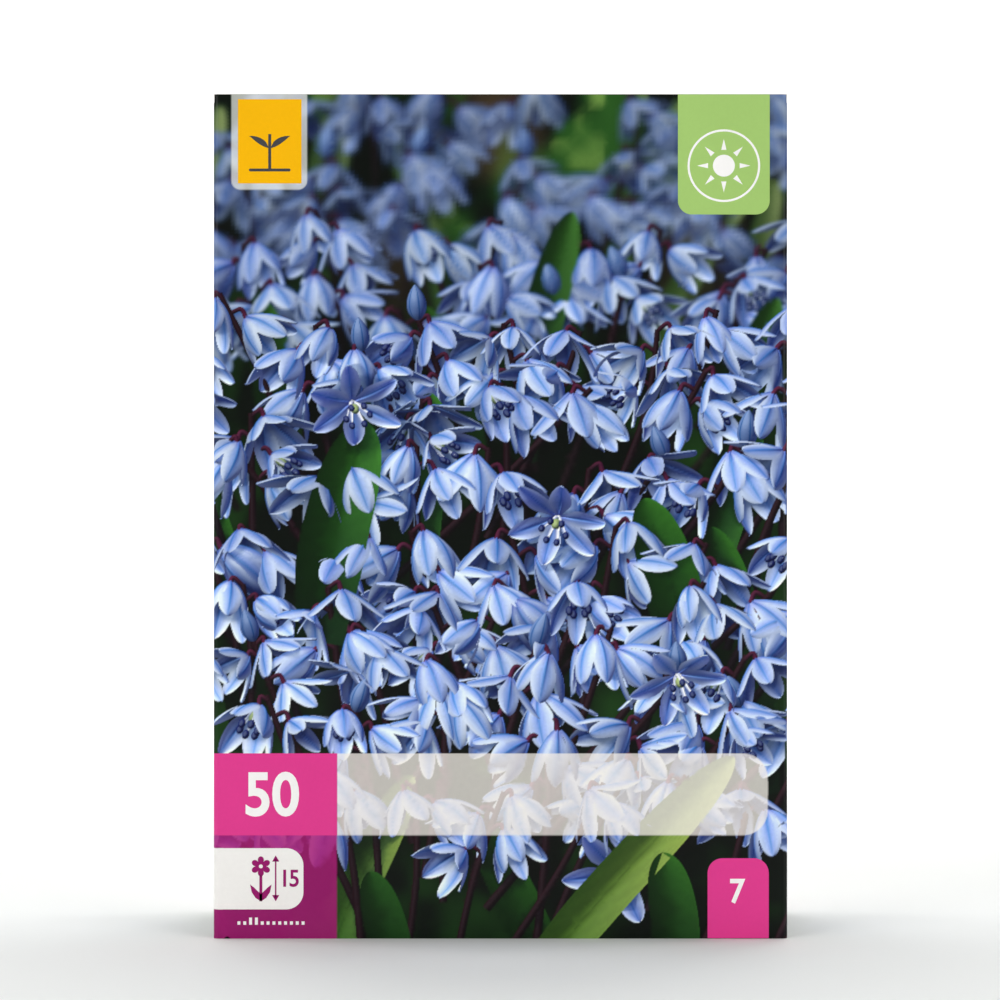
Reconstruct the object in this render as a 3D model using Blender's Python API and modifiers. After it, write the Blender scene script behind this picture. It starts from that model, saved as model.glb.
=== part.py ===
"""A retail carton of squill bulbs: one folded board blank with a tuck-in lid, and fifty loose bulbs inside.

The frame is in metres, +Z up, with the origin at the middle of the base and the printed front facing -Y.
"""

import math
import random

import bmesh
import bpy
from mathutils import Matrix, Vector

# Carton: outside sizes, the board and its creases
WIDTH = 0.120
DEPTH = 0.046
HEIGHT = 0.1766
BOARD = 0.0006
CREASE_RADIUS = 0.0010
CREASE_STEPS = 4
SEAT = 0.0003
LAP = 0.0002

# Lid with its tuck, both hinged on creases
TUCK_LENGTH = 0.012
TUCK_LEAN = math.radians(14.0)
TUCK_CORNER = 0.006
TUCK_SIDE_GAP = 0.0012

# Dust flaps under the lid, cut back at the rear so that they clear the lid while both swing
DUST_LENGTH = 0.032
DUST_FRONT_GAP = 0.0034
DUST_REAR_GAP = 0.0012
DUST_REAR_SLOPE = 0.56
DUST_CORNER = 0.004
CORNER_STEPS = 4

# Glued base and side seam
MINOR_FLAP = 0.034
GLUE_FLAP = 0.013
GLUE_FLAP_END_GAP = 0.004

# Air holes in the two sides
AIR_HOLE_RADIUS = 0.0032
AIR_HOLE_SIDES = 16
AIR_HOLE_HEIGHTS = (0.048, 0.078, 0.108, 0.138)

# Bulbs: sizes as fractions of each bulb's own greatest radius
BULB_COUNT = 50
BULB_RADII = (0.0110, 0.0120)
BULB_PLATE = -0.955
BULB_TIP = 1.27
BULB_SIDES = 12
BULB_PROFILE = (
    (0.000, BULB_TIP),
    (0.115, 1.20),
    (0.285, 1.01),
    (0.600, 0.74),
    (0.915, 0.38),
    (1.000, 0.00),
    (0.900, -0.44),
    (0.610, -0.79),
    (0.270, BULB_PLATE),
    (0.000, BULB_PLATE),
)
BULB_ROUNDING = 1.006
# Each bulb is packed as three balls along its axis: (place on the axis, radius)
BULB_BALLS = ((0.0, 1.0), (0.75, 0.42), (1.10, 0.18))
BULB_GAP = 0.0002
FILL_SEED = 11
DROPS_TRIED = 400
ROLLS_TRIED = 400
ROLL_STEP = 0.0035
ROLL_TURN = 0.30

INNER_HALF_WIDTH = WIDTH / 2 - BOARD
INNER_HALF_DEPTH = DEPTH / 2 - BOARD
LID_UNDERSIDE = HEIGHT - BOARD
BACK_TOP = LID_UNDERSIDE - SEAT
DUST_TOP = LID_UNDERSIDE - SEAT
DUST_UNDERSIDE = DUST_TOP - BOARD
SIDE_TOP = DUST_UNDERSIDE - SEAT
LID_FRONT = -INNER_HALF_DEPTH + SEAT
FLOOR_TOP = 3 * BOARD

COLLECTION = bpy.data.collections.new("squill_bulb_carton")
CUTTERS = bpy.data.collections.new("cutters")


def clear_scene():
    """Remove what the startup file holds and link the two collections."""
    for thing in list(bpy.data.objects):
        bpy.data.objects.remove(thing)
    bpy.context.scene.collection.children.link(COLLECTION)
    bpy.context.scene.collection.children.link(CUTTERS)


def material(name, colour, roughness):
    """A plain Principled finish."""
    made = bpy.data.materials.new(name)
    made.use_nodes = True
    shader = made.node_tree.nodes["Principled BSDF"]
    shader.inputs["Base Color"].default_value = (*colour, 1.0)
    shader.inputs["Roughness"].default_value = roughness
    shader.inputs["Metallic"].default_value = 0.0
    return made


def add_mesh(name, shape, finish, collection=COLLECTION):
    """Turn a bmesh into an object of the collection."""
    mesh = bpy.data.meshes.new(name)
    shape.to_mesh(mesh)
    shape.free()
    mesh.materials.append(finish)
    made = bpy.data.objects.new(name, mesh)
    collection.objects.link(made)
    return made


def plate(name, low, high, finish, collection=CUTTERS):
    """A flat panel of board, or a cutter, between two corners."""
    shape = bmesh.new()
    bmesh.ops.create_cube(shape, size=1.0)
    low, high = Vector(low), Vector(high)
    size = high - low
    bmesh.ops.scale(shape, vec=size, verts=shape.verts)
    bmesh.ops.translate(shape, vec=(low + high) / 2, verts=shape.verts)
    return add_mesh(name, shape, finish, collection)


def helper(thing):
    """Mark an object as a cutter or a piece that a Boolean joins."""
    thing.hide_render = True
    thing.display_type = "WIRE"
    return thing


def boolean(target, operation, other, name):
    """Cut one object with another, or join them."""
    cut = target.modifiers.new(name, "BOOLEAN")
    cut.operation = operation
    cut.object = helper(other)


def rounded_outline(half_x, half_y, radius, steps):
    """Corner points of a rectangle with round corners, anticlockwise from the front right corner."""
    points = []
    for quarter in range(4):
        sign_x = (1, 1, -1, -1)[quarter]
        sign_y = (-1, 1, 1, -1)[quarter]
        start = math.radians(-90 + 90 * quarter)
        for step in range(steps + 1):
            angle = start + math.radians(90) * step / steps
            points.append(
                (
                    sign_x * (half_x - radius) + radius * math.cos(angle),
                    sign_y * (half_y - radius) + radius * math.sin(angle),
                )
            )
    return points


def outline_plate(name, points, thickness, finish, collection=COLLECTION):
    """A flat sheet of board cut to an outline in X and Y, rising from z = 0."""
    shape = bmesh.new()
    face = shape.faces.new([shape.verts.new((x, y, 0.0)) for x, y in points])
    bmesh.ops.recalc_face_normals(shape, faces=[face])
    grown = bmesh.ops.extrude_face_region(shape, geom=[face])
    top = [part for part in grown["geom"] if isinstance(part, bmesh.types.BMVert)]
    bmesh.ops.translate(shape, vec=(0, 0, thickness), verts=top)
    bmesh.ops.recalc_face_normals(shape, faces=shape.faces)
    return add_mesh(name, shape, finish, collection)


def build_walls(finish):
    """The four walls: a rounded tube of board, open at the top and the base."""
    shape = bmesh.new()
    ring = rounded_outline(WIDTH / 2, DEPTH / 2, CREASE_RADIUS, CREASE_STEPS)
    bottom = [shape.verts.new((x, y, 0.0)) for x, y in ring]
    count = len(bottom)
    edges = [shape.edges.new((bottom[i], bottom[(i + 1) % count])) for i in range(count)]
    grown = bmesh.ops.extrude_edge_only(shape, edges=edges)
    top = [part for part in grown["geom"] if isinstance(part, bmesh.types.BMVert)]
    bmesh.ops.translate(shape, vec=(0, 0, HEIGHT), verts=top)
    bmesh.ops.recalc_face_normals(shape, faces=shape.faces)
    if sum(face.normal.dot(face.calc_center_median()) for face in shape.faces) < 0:
        bmesh.ops.reverse_faces(shape, faces=shape.faces)
    walls = add_mesh("carton", shape, finish)
    thickness = walls.modifiers.new("board", "SOLIDIFY")
    thickness.thickness = BOARD
    thickness.offset = -1.0
    thickness.use_even_offset = True
    return walls


def build_carton(finish):
    """The glued blank: walls, base flaps, the seam's inner flap, the stepped top edge and the air holes."""
    walls = build_walls(finish)
    inside_x = INNER_HALF_WIDTH + LAP
    inside_y = INNER_HALF_DEPTH + LAP
    outer_base = plate("outer_base", (-inside_x, -inside_y, 0), (inside_x, inside_y, 2 * BOARD), finish)
    boolean(walls, "UNION", outer_base, "outer base")
    for side, name in ((-1, "left"), (1, "right")):
        near, far = side * (inside_x - MINOR_FLAP), side * inside_x
        low = (min(near, far), -inside_y, BOARD)
        high = (max(near, far), inside_y, FLOOR_TOP)
        boolean(walls, "UNION", plate(f"{name}_minor", low, high, finish), f"{name} minor flap")
    seam_low = (-inside_x, INNER_HALF_DEPTH - BOARD, FLOOR_TOP + GLUE_FLAP_END_GAP)
    seam_high = (-INNER_HALF_WIDTH + GLUE_FLAP, inside_y, SIDE_TOP - GLUE_FLAP_END_GAP)
    boolean(walls, "UNION", plate("glue_flap", seam_low, seam_high, finish), "glue flap")

    over = HEIGHT + 10 * BOARD
    beyond = WIDTH
    back_of_front_wall = -INNER_HALF_DEPTH
    behind = plate("top_step", (-beyond, back_of_front_wall, BACK_TOP), (beyond, beyond, over), finish)
    boolean(walls, "DIFFERENCE", behind, "back edge")
    before_back = INNER_HALF_DEPTH
    sides = plate("side_step", (-beyond, back_of_front_wall, SIDE_TOP), (beyond, before_back, over), finish)
    boolean(walls, "DIFFERENCE", sides, "side edges")

    for index, height in enumerate(AIR_HOLE_HEIGHTS):
        shape = bmesh.new()
        bmesh.ops.create_cone(
            shape,
            cap_ends=True,
            segments=AIR_HOLE_SIDES,
            radius1=AIR_HOLE_RADIUS,
            radius2=AIR_HOLE_RADIUS,
            depth=2 * WIDTH,
            matrix=Matrix.Translation((0, 0, height)) @ Matrix.Rotation(math.pi / 2, 4, "Y"),
        )
        drill = add_mesh(f"air_hole_{index}", shape, finish, CUTTERS)
        boolean(walls, "DIFFERENCE", drill, f"air hole {index}")
    return walls


def build_lid(finish):
    """The lid panel. Its origin is on the rear crease, at the back wall's outer face."""
    reach = DEPTH / 2 - LID_FRONT
    half = WIDTH / 2
    rear = -SEAT / 2
    points = [(half, -reach), (half, rear), (-half, rear), (-half, -reach)]
    lid = outline_plate("lid", points, BOARD, finish)
    lid.data.transform(Matrix.Translation((0, 0, SEAT / 2)))
    lid.location = (0, DEPTH / 2, LID_UNDERSIDE - SEAT / 2)
    return lid


def corner_arc(centre, radius, first_degrees, last_degrees):
    """Points on a quarter round of an outline."""
    points = []
    for step in range(CORNER_STEPS + 1):
        angle = math.radians(first_degrees + (last_degrees - first_degrees) * step / CORNER_STEPS)
        points.append((centre[0] + radius * math.cos(angle), centre[1] + radius * math.sin(angle)))
    return points


def build_tuck(finish):
    """The tuck, drawn flat from its crease at y = 0 to its free edge at -Y, then folded down and leaning in."""
    half = INNER_HALF_WIDTH - TUCK_SIDE_GAP
    points = [(half, -SEAT), (-half, -SEAT)]
    points += corner_arc((-half + TUCK_CORNER, -TUCK_LENGTH + TUCK_CORNER), TUCK_CORNER, 180, 270)
    points += corner_arc((half - TUCK_CORNER, -TUCK_LENGTH + TUCK_CORNER), TUCK_CORNER, 270, 360)
    tuck = outline_plate("tuck", points, BOARD, finish)
    tuck.data.transform(Matrix.Translation((0, 0, -BOARD)))
    tuck.data.transform(Matrix.Rotation(math.radians(90) + TUCK_LEAN, 4, "X"))
    tuck.location = (0, LID_FRONT, LID_UNDERSIDE - SEAT / 2)
    return tuck


def build_dust_flap(name, side, finish):
    """A dust flap on one side. Its origin is on its crease, at the side wall's outer face."""
    start = BOARD
    front = -INNER_HALF_DEPTH + DUST_FRONT_GAP
    rear_start = INNER_HALF_DEPTH - DUST_REAR_GAP - DUST_REAR_SLOPE * start
    rear_end = INNER_HALF_DEPTH - DUST_REAR_GAP - DUST_REAR_SLOPE * DUST_LENGTH
    crease = SEAT / 2
    points = [(crease, front), (crease, rear_start)]
    points += [(DUST_LENGTH - DUST_CORNER, rear_end + DUST_REAR_SLOPE * DUST_CORNER)]
    points += [(DUST_LENGTH, rear_end - DUST_CORNER)]
    points += corner_arc((DUST_LENGTH - DUST_CORNER, front + DUST_CORNER), DUST_CORNER, 0, -90)
    points = [(-side * x, y) for x, y in points]
    flap = outline_plate(name, points, BOARD, finish)
    flap.data.transform(Matrix.Translation((0, 0, SEAT / 2)))
    flap.location = (side * WIDTH / 2, 0, DUST_UNDERSIDE - SEAT / 2)
    return flap


class Bulb:
    """One bulb's size and place, as packed: a centre, the direction its nose points in, and its radius."""

    def __init__(self, radius, centre, nose):
        self.radius = radius
        self.centre = centre
        self.nose = nose

    def balls(self):
        """The balls that stand for the bulb while it is packed."""
        return [(self.centre + self.nose * (at * self.radius), size * self.radius) for at, size in BULB_BALLS]


def overlaps_walls(balls):
    """Whether any ball reaches into the walls."""
    for place, radius in balls:
        if abs(place.x) > INNER_HALF_WIDTH - BULB_GAP - radius:
            return True
        if place.y < -INNER_HALF_DEPTH + BULB_GAP + radius:
            return True
        if place.y > INNER_HALF_DEPTH - BOARD - BULB_GAP - radius:
            return True
    return False


def resting_drop(balls, packed):
    """How far the balls must move along Z to rest on what lies below them, from where they are."""
    drop = max(FLOOR_TOP + BULB_GAP + radius - place.z for place, radius in balls)
    for place, radius in balls:
        for other, other_radius in packed:
            apart = radius + other_radius + BULB_GAP
            across = (place.x - other.x) ** 2 + (place.y - other.y) ** 2
            if across < apart * apart:
                drop = max(drop, other.z + math.sqrt(apart * apart - across) - place.z)
    return drop


def random_nose(draw):
    """A direction, even over the sphere."""
    height = draw.uniform(-1, 1)
    turn = draw.uniform(0, 2 * math.pi)
    flat = math.sqrt(1 - height * height)
    return Vector((flat * math.cos(turn), flat * math.sin(turn), height))


def settled(bulb, packed):
    """The bulb lowered on to the pile, or None if it doesn't fit between the walls."""
    balls = bulb.balls()
    if overlaps_walls(balls):
        return None
    bulb.centre = bulb.centre + Vector((0, 0, resting_drop(balls, packed)))
    return bulb


def pile_of_bulbs():
    """Fill the carton: each bulb goes to the lowest of many places, then rolls lower while it can."""
    draw = random.Random(FILL_SEED)
    placed = []
    packed = []
    reach_x = INNER_HALF_WIDTH - BULB_RADII[0]
    reach_y = INNER_HALF_DEPTH - BULB_RADII[0]
    for _ in range(BULB_COUNT):
        radius = draw.uniform(*BULB_RADII)
        best = None
        for _ in range(DROPS_TRIED):
            centre = Vector((draw.uniform(-reach_x, reach_x), draw.uniform(-reach_y, reach_y), 0))
            tried = settled(Bulb(radius, centre, random_nose(draw)), packed)
            if tried and (best is None or tried.centre.z < best.centre.z):
                best = tried
        for step in range(ROLLS_TRIED):
            reach = ROLL_STEP * (1 - step / ROLLS_TRIED)
            shift = Vector((draw.gauss(0, reach), draw.gauss(0, reach), 0))
            nose = (best.nose + random_nose(draw) * ROLL_TURN).normalized()
            tried = settled(Bulb(radius, best.centre + shift, nose), packed)
            if tried and tried.centre.z < best.centre.z:
                best = tried
        placed.append(best)
        packed += best.balls()
    return placed


def build_bulb(name, bulb, finish):
    """A turned bulb: basal plate, round body and pointed nose, on its own axis."""
    mesh = bpy.data.meshes.new(name)
    points = [(across * BULB_ROUNDING * bulb.radius, 0, along * bulb.radius) for across, along in BULB_PROFILE]
    edges = [(i, i + 1) for i in range(len(points) - 1)]
    mesh.from_pydata(points, edges, [])
    mesh.materials.append(finish)
    made = bpy.data.objects.new(name, mesh)
    COLLECTION.objects.link(made)
    turned = made.modifiers.new("turned", "SCREW")
    turned.steps = BULB_SIDES
    turned.render_steps = BULB_SIDES
    turned.use_merge_vertices = True
    turned.merge_threshold = 0.00005
    made.location = bulb.centre
    made.rotation_mode = "QUATERNION"
    made.rotation_quaternion = bulb.nose.to_track_quat("Z", "Y")
    return made


def main():
    """Build the carton, its flaps and its bulbs."""
    clear_scene()
    board = material("printed_board", (0.33, 0.40, 0.72), 0.42)
    tunic = material("bulb_tunic", (0.32, 0.17, 0.13), 0.6)
    build_carton(board)
    build_lid(board)
    build_tuck(board)
    build_dust_flap("dust_flap_left", -1, board)
    build_dust_flap("dust_flap_right", 1, board)
    for index, bulb in enumerate(pile_of_bulbs(), start=1):
        build_bulb(f"bulb_{index:02d}", bulb, tunic)


main()
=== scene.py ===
"""Looks of a printed carton of squill bulbs: its picture, inks, raw board, creases and the bulbs inside."""

import logging
import math
from dataclasses import dataclass, field
from enum import Enum
from functools import partial
from typing import Any, Callable, Sequence

import bpy
import numpy as np
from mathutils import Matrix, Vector


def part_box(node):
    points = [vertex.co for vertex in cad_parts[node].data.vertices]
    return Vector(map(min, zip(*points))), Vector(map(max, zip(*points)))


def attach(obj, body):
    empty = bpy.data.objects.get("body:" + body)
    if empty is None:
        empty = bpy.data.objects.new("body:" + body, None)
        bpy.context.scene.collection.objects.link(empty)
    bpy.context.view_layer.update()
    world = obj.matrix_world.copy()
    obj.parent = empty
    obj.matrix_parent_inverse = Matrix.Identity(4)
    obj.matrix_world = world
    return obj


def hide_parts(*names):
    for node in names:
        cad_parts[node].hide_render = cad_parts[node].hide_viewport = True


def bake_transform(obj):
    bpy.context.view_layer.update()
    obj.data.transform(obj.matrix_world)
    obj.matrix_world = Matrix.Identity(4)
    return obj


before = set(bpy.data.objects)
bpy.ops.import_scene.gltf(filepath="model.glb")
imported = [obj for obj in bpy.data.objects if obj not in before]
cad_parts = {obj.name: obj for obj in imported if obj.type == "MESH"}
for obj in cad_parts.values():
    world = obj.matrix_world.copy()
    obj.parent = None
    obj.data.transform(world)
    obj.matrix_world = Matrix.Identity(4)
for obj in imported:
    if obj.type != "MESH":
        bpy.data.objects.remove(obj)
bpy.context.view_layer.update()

log = logging.getLogger("squill_carton")

Array = np.ndarray
Draw = np.random.Generator
Piece = bpy.types.Object
Material = bpy.types.Material

MM = 0.001
DISPLAY_POWER = 2.2
PICTURE_STEP = 0.1
NEAR_NOTHING = -1.0e6
PETALS = 6


def linear(red: float, green: float, blue: float) -> Array:
    """Linear light of a display colour given in 0 to 255."""
    return (np.array([red, green, blue], np.float32) / 255.0) ** DISPLAY_POWER


def smooth(low: float, high: float, value: Array) -> Array:
    """Smooth step from 0 at low to 1 at high."""
    share = np.clip((value - low) / (high - low), 0.0, 1.0)
    return share * share * (3.0 - 2.0 * share)


def mixed(first: Array, second: Array, share: Array) -> Array:
    """One colour turning into another by each point's share."""
    return first * (1 - share[..., None]) + second * share[..., None]


def unit(ways: Array) -> Array:
    """Directions brought to length 1."""
    return ways / (np.linalg.norm(ways, axis=-1, keepdims=True) + 1e-9)


def blurred(picture: Array, radius: float) -> Array:
    """A soft copy of a picture: three passes of a box filter each way.

    Args:
        picture: Rows by columns, or rows by columns by channels.
        radius: Width of the blur, in pixels.

    Returns:
        The blurred picture.
    """
    half = int(round(radius))
    if half < 1:
        return picture.copy()
    width = 2 * half + 1
    soft = picture.astype(np.float32)
    for axis in (0, 1):
        size = picture.shape[axis]
        pad = [(0, 0)] * soft.ndim
        pad[axis] = (half + 1, half)
        for _ in range(3):
            total = np.cumsum(np.pad(soft, pad, mode="edge"), axis=axis, dtype=np.float64)
            upper = np.take(total, np.arange(width, width + size), axis=axis)
            lower = np.take(total, np.arange(size), axis=axis)
            soft = ((upper - lower) / width).astype(np.float32)
    return soft


def shifted(picture: Array, down: int, right: int) -> Array:
    """Slide a picture down and to the right, its edges drawn out."""
    wide = np.pad(picture, ((0, down), (right, 0)), mode="edge")
    return wide[down:, : picture.shape[1]]


def between_points(grid: Array, down: Array, right: Array, eased: bool = False) -> Array:
    """Values of a grid at places between its points.

    Args:
        grid: Rows by columns, or rows by columns by channels.
        down: Place of each wanted row, counted in rows.
        right: Place of each wanted column, counted in columns.
        eased: Whether the values change by smooth steps and not evenly.

    Returns:
        The values at every wanted row and column.
    """
    row, column = down.astype(int), right.astype(int)
    row_share, column_share = down - row, right - column
    if eased:
        row_share, column_share = smooth(0, 1, row_share), smooth(0, 1, column_share)
    channels = (1,) * (grid.ndim - 2)
    row_share = row_share.reshape(-1, 1, *channels)
    column_share = column_share.reshape(1, -1, *channels)
    above, below = (
        grid[line][:, column] * (1 - column_share) + grid[line][:, column + 1] * column_share
        for line in (row, row + 1)
    )
    return above * (1 - row_share) + below * row_share


def clouds(rows: int, columns: int, cell: float, draw: Draw) -> Array:
    """Smooth random blotches between 0 and 1, a cell of pixels wide."""
    coarse = draw.random((int(rows / cell) + 3, int(columns / cell) + 3)).astype(np.float32)
    return between_points(coarse, np.arange(rows) / cell, np.arange(columns) / cell, eased=True)


class Layer:
    """One depth of the picture: ink colour, how near each spot is, and what is covered."""

    def __init__(self, low: float, high: float, height: float) -> None:
        """Start an empty layer.

        Args:
            low: Left edge, in millimetres.
            high: Right edge, in millimetres.
            height: Height, in millimetres.
        """
        self.low = low
        self.columns = int(round((high - low) / PICTURE_STEP))
        self.rows = int(round(height / PICTURE_STEP))
        self.ink = np.zeros((self.rows * self.columns, 3), np.float32)
        self.near = np.full(self.rows * self.columns, NEAR_NOTHING, np.float32)

    def splat(self, points: Array, ink: Array) -> None:
        """Put many coloured points on the layer, keeping the nearest at each pixel.

        Args:
            points: Places across, towards the viewer and up, in millimetres.
            ink: Their linear colours.
        """
        x, near, z = points.reshape(-1, 3).T
        ink = ink.reshape(-1, 3)
        column = ((x - self.low) / PICTURE_STEP).astype(np.int32)
        row = (z / PICTURE_STEP).astype(np.int32)
        inside = (column >= 0) & (column < self.columns) & (row >= 0) & (row < self.rows) & (x >= self.low)
        index = row[inside] * self.columns + column[inside]
        near, ink = near[inside], ink[inside]
        seen = near > self.near[index]
        index, near, ink = index[seen], near[seen], ink[seen]
        order = np.argsort(near, kind="stable")
        self.near[index[order]] = near[order]
        self.ink[index[order]] = ink[order]

    def pictures(self) -> tuple[Array, Array, Array]:
        """Colour, cover and nearness as pictures, the lowest row first."""
        near = self.near.reshape(self.rows, self.columns)
        return self.ink.reshape(*near.shape, 3), (near > NEAR_NOTHING / 2).astype(np.float32), near


# Light and inks of the flower picture

LIGHT = unit(np.array([-0.42, 0.55, 0.72], np.float32)).astype(np.float32)
TOWARDS_VIEWER = np.array([0.0, 1.0, 0.0])
PALE = linear(228, 238, 252)
BODY = linear(160, 186, 242)
RIB = linear(56, 132, 206)
BASE_VIOLET = linear(104, 110, 205)
SHADE_TINT = linear(158, 156, 228)
STEM = linear(66, 22, 34)
PEDICEL = linear(128, 44, 78)
THREAD = linear(236, 240, 250)
ANTHER = linear(38, 46, 110)
OVARY = linear(176, 190, 120)


def lit(ink: Array, normal: Array, strength: float = 1.0, shine: float = 0.10) -> Array:
    """Ink under the picture's daylight: a soft sun from the upper left and a blue sky.

    Args:
        ink: Points by three, linear colour.
        normal: Points by three, unit, turned towards the viewer.
        strength: How bright the light is.
        shine: How much gloss it has.

    Returns:
        Points by three, linear colour.
    """
    facing = normal @ LIGHT
    sun = np.clip(facing, 0, 1)
    through = np.clip(-facing, 0, 1)
    sky = 0.5 + 0.5 * normal[:, 2]
    white = strength * (0.95 * sun + 0.22 * through)
    halfway = np.clip(normal @ ((LIGHT + TOWARDS_VIEWER) / 1.6), 0, 1)
    shade = strength * (0.20 + 0.34 * sky)
    return ink * (white[:, None] + shade[:, None] * SHADE_TINT) + (shine * halfway**18)[:, None]


def frame_of(axis: Array, spin: float) -> tuple[Array, Array]:
    """Two directions square to an axis and to each other.

    Args:
        axis: The axis, of length 1.
        spin: How far they are turned about it, in radians.

    Returns:
        Both directions, of length 1.
    """
    helper = TOWARDS_VIEWER if abs(axis[1]) < 0.8 else np.array([1.0, 0.0, 0.0])
    first = unit(np.cross(axis, helper))
    second = np.cross(axis, first)
    turned = math.cos(spin) * first + math.sin(spin) * second
    return turned, np.cross(axis, turned)


def curve_points(points: Array, count: int) -> Array:
    """A smooth line through a few points, by piecewise cubics.

    Args:
        points: The few points it runs through.
        count: How many points it gets.

    Returns:
        Its points.
    """
    ends = np.vstack([2 * points[0] - points[1], points, 2 * points[-1] - points[-2]])
    share = np.linspace(0, len(points) - 1 - 1e-6, count)
    index = share.astype(int)
    u = (share - index)[:, None]
    p0, p1, p2, p3 = (ends[index + shift] for shift in range(4))
    bend = (2 * p0 - 5 * p1 + 4 * p2 - p3) * u**2 + (3 * p1 - p0 - 3 * p2 + p3) * u**3
    return 0.5 * (2 * p1 + (p2 - p0) * u + bend)


def ribbon(points: Array, detail: float) -> tuple[Array, Array, Array]:
    """A smooth line with the direction across it at each point.

    Args:
        points: The few points it runs through.
        detail: Points per millimetre.

    Returns:
        The line, its sideways directions, and the share of the way along, from 0 to 1.
    """
    length = np.linalg.norm(np.diff(points, axis=0), axis=1).sum()
    line = curve_points(points, int(length * detail) + 4)
    ahead = unit(np.gradient(line, axis=0))
    side = unit(np.stack([ahead[:, 2], 0 * ahead[:, 0], -ahead[:, 0]], -1))
    return line, side, np.linspace(0, 1, len(line))


@dataclass
class Brush:
    """Paints the round and flat parts of plants on a layer."""

    layer: Layer
    detail: float
    light: float = 1.0

    def round_part(self, turn: Array, rise: Array, axis: Array, spin: float) -> tuple[Array, Array, Array]:
        """Spread a grid of angles and heights round an axis.

        Args:
            turn: Angles round the axis.
            rise: Heights or angles along it.
            axis: The axis, of length 1.
            spin: How far the part is turned about it.

        Returns:
            Each point's angle, its height and its direction away from the axis.
        """
        turn, rise = (grid.ravel() for grid in np.meshgrid(turn, rise))
        first, second = frame_of(axis, spin)
        return turn, rise, np.cos(turn)[:, None] * first + np.sin(turn)[:, None] * second

    def ball(self, centre: Array, axis: Array, radius: float, length: float, ink: Array) -> None:
        """Paint a long ball, such as an anther or an ovary.

        Args:
            centre: Its middle.
            axis: Its long way.
            radius: Half its width.
            length: Half its length.
            ink: Its colour.
        """
        count = max(int(2.2 * max(radius, length) * self.detail), 6)
        turn = np.linspace(0, 2 * math.pi, 2 * count, endpoint=False)
        turn, rise, out = self.round_part(turn, np.linspace(-math.pi / 2, math.pi / 2, count), axis, 0.0)
        ring = np.cos(rise)[:, None] * out
        world = centre + radius * ring + (length * np.sin(rise))[:, None] * axis
        normal = unit(ring / radius + (np.sin(rise) / length)[:, None] * axis)
        front = normal[:, 1] > 0
        self.layer.splat(world[front], lit(np.broadcast_to(ink, world.shape)[front], normal[front]))

    def bud(self, foot: Array, axis: Array, length: float, spin: float = 0.3) -> None:
        """Paint a closed bud: a pointed egg with blue ribs.

        Args:
            foot: Where it sits.
            axis: The way it points.
            length: Its length, in millimetres.
            spin: How far it is turned about its axis.
        """
        count = int(2.4 * length * self.detail)
        turn = np.linspace(0, 2 * math.pi, count, endpoint=False)
        turn, rise, ring = self.round_part(turn, np.linspace(0, 1, count), axis, spin)
        profile = 0.27 * length * np.sin(math.pi * np.clip(rise, 0, 1) ** 0.8) ** 0.75
        world = foot + profile[:, None] * ring + (length * rise)[:, None] * axis
        normal = unit(ring - 0.35 * np.cos(math.pi * rise)[:, None] * axis)
        front = normal[:, 1] > 0
        rib = np.abs(np.sin(3 * turn))
        ink = BODY * 0.75 + (RIB - BODY) * ((1 - smooth(0.0, 0.45, rib)) * 0.8)[:, None]
        ink = ink * (1 - 0.5 * (1 - smooth(0, 0.3, rise)))[:, None]
        self.layer.splat(world[front], lit(ink[front], normal[front], 0.95))

    def stalk(self, points: Array, radius: tuple[float, float], ink: tuple[Array, Array]) -> None:
        """Paint a round stalk along a smooth line.

        Args:
            points: The few points it runs through.
            radius: Its radius at its start and at its end.
            ink: Its colour at its start and at its end.
        """
        detail = self.detail * 1.4
        line, side, share = ribbon(points, detail)
        across = np.linspace(-0.98, 0.98, max(int(2.4 * max(radius) * detail), 5))
        wide = radius[0] + (radius[1] - radius[0]) * share
        world = line[:, None, :] + side[:, None, :] * (across[None, :] * wide[:, None])[..., None]
        rise = np.sqrt(1 - across**2)
        world[..., 1] += rise[None, :] * wide[:, None]
        normal = side[:, None, :] * across[None, :, None] + TOWARDS_VIEWER * rise[None, :, None]
        colour = ink[0] + (ink[1] - ink[0]) * share[:, None, None] + 0 * normal
        self.layer.splat(world, lit(colour.reshape(-1, 3), normal.reshape(-1, 3), self.light, 0.015))

    def leaf(self, points: Array, width: float, fold: float, ink: tuple[Array, Array]) -> None:
        """Paint a strap leaf with a channel down its middle, fine veins and a hooded tip.

        Args:
            points: The few points its middle runs through.
            width: Its width, in millimetres.
            fold: How deep its channel is.
            ink: Its colour at its foot and at its tip.
        """
        detail = self.detail * 1.3
        line, side, share = ribbon(points, detail)
        across = np.linspace(-1, 1, int(width * detail) + 5)
        half = 0.5 * width * (0.75 + 0.25 * smooth(0, 0.4, share)) * np.clip(1 - share**7, 0, 1) ** 0.6
        world = line[:, None, :] + side[:, None, :] * (across[None, :] * half[:, None])[..., None]
        world[..., 1] += (fold * np.abs(across) * width * 0.5)[None, :]
        slope = fold * np.sign(across) * smooth(0.0, 0.35, np.abs(across))
        normal = TOWARDS_VIEWER - side[:, None, :] * slope[None, :, None]
        normal = unit(normal + np.array([0, 0, 0.35]))
        vein = 0.5 + 0.5 * np.cos(across * width * 4.2)
        tone = 1 - 0.13 * vein - 0.22 * np.exp(-((across / 0.07) ** 2))
        blend = share[:, None] ** 1.3 * (0.6 + 0.4 * across[None, :])
        colour = (ink[0] + (ink[1] - ink[0]) * blend[..., None]) * tone[None, :, None]
        facing = np.clip(normal @ LIGHT, 0, 1)[..., None]
        shaded = colour * self.light * (0.22 + 1.05 * facing**1.4) + 0.035 * facing**12
        self.layer.splat(world, shaded)


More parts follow.
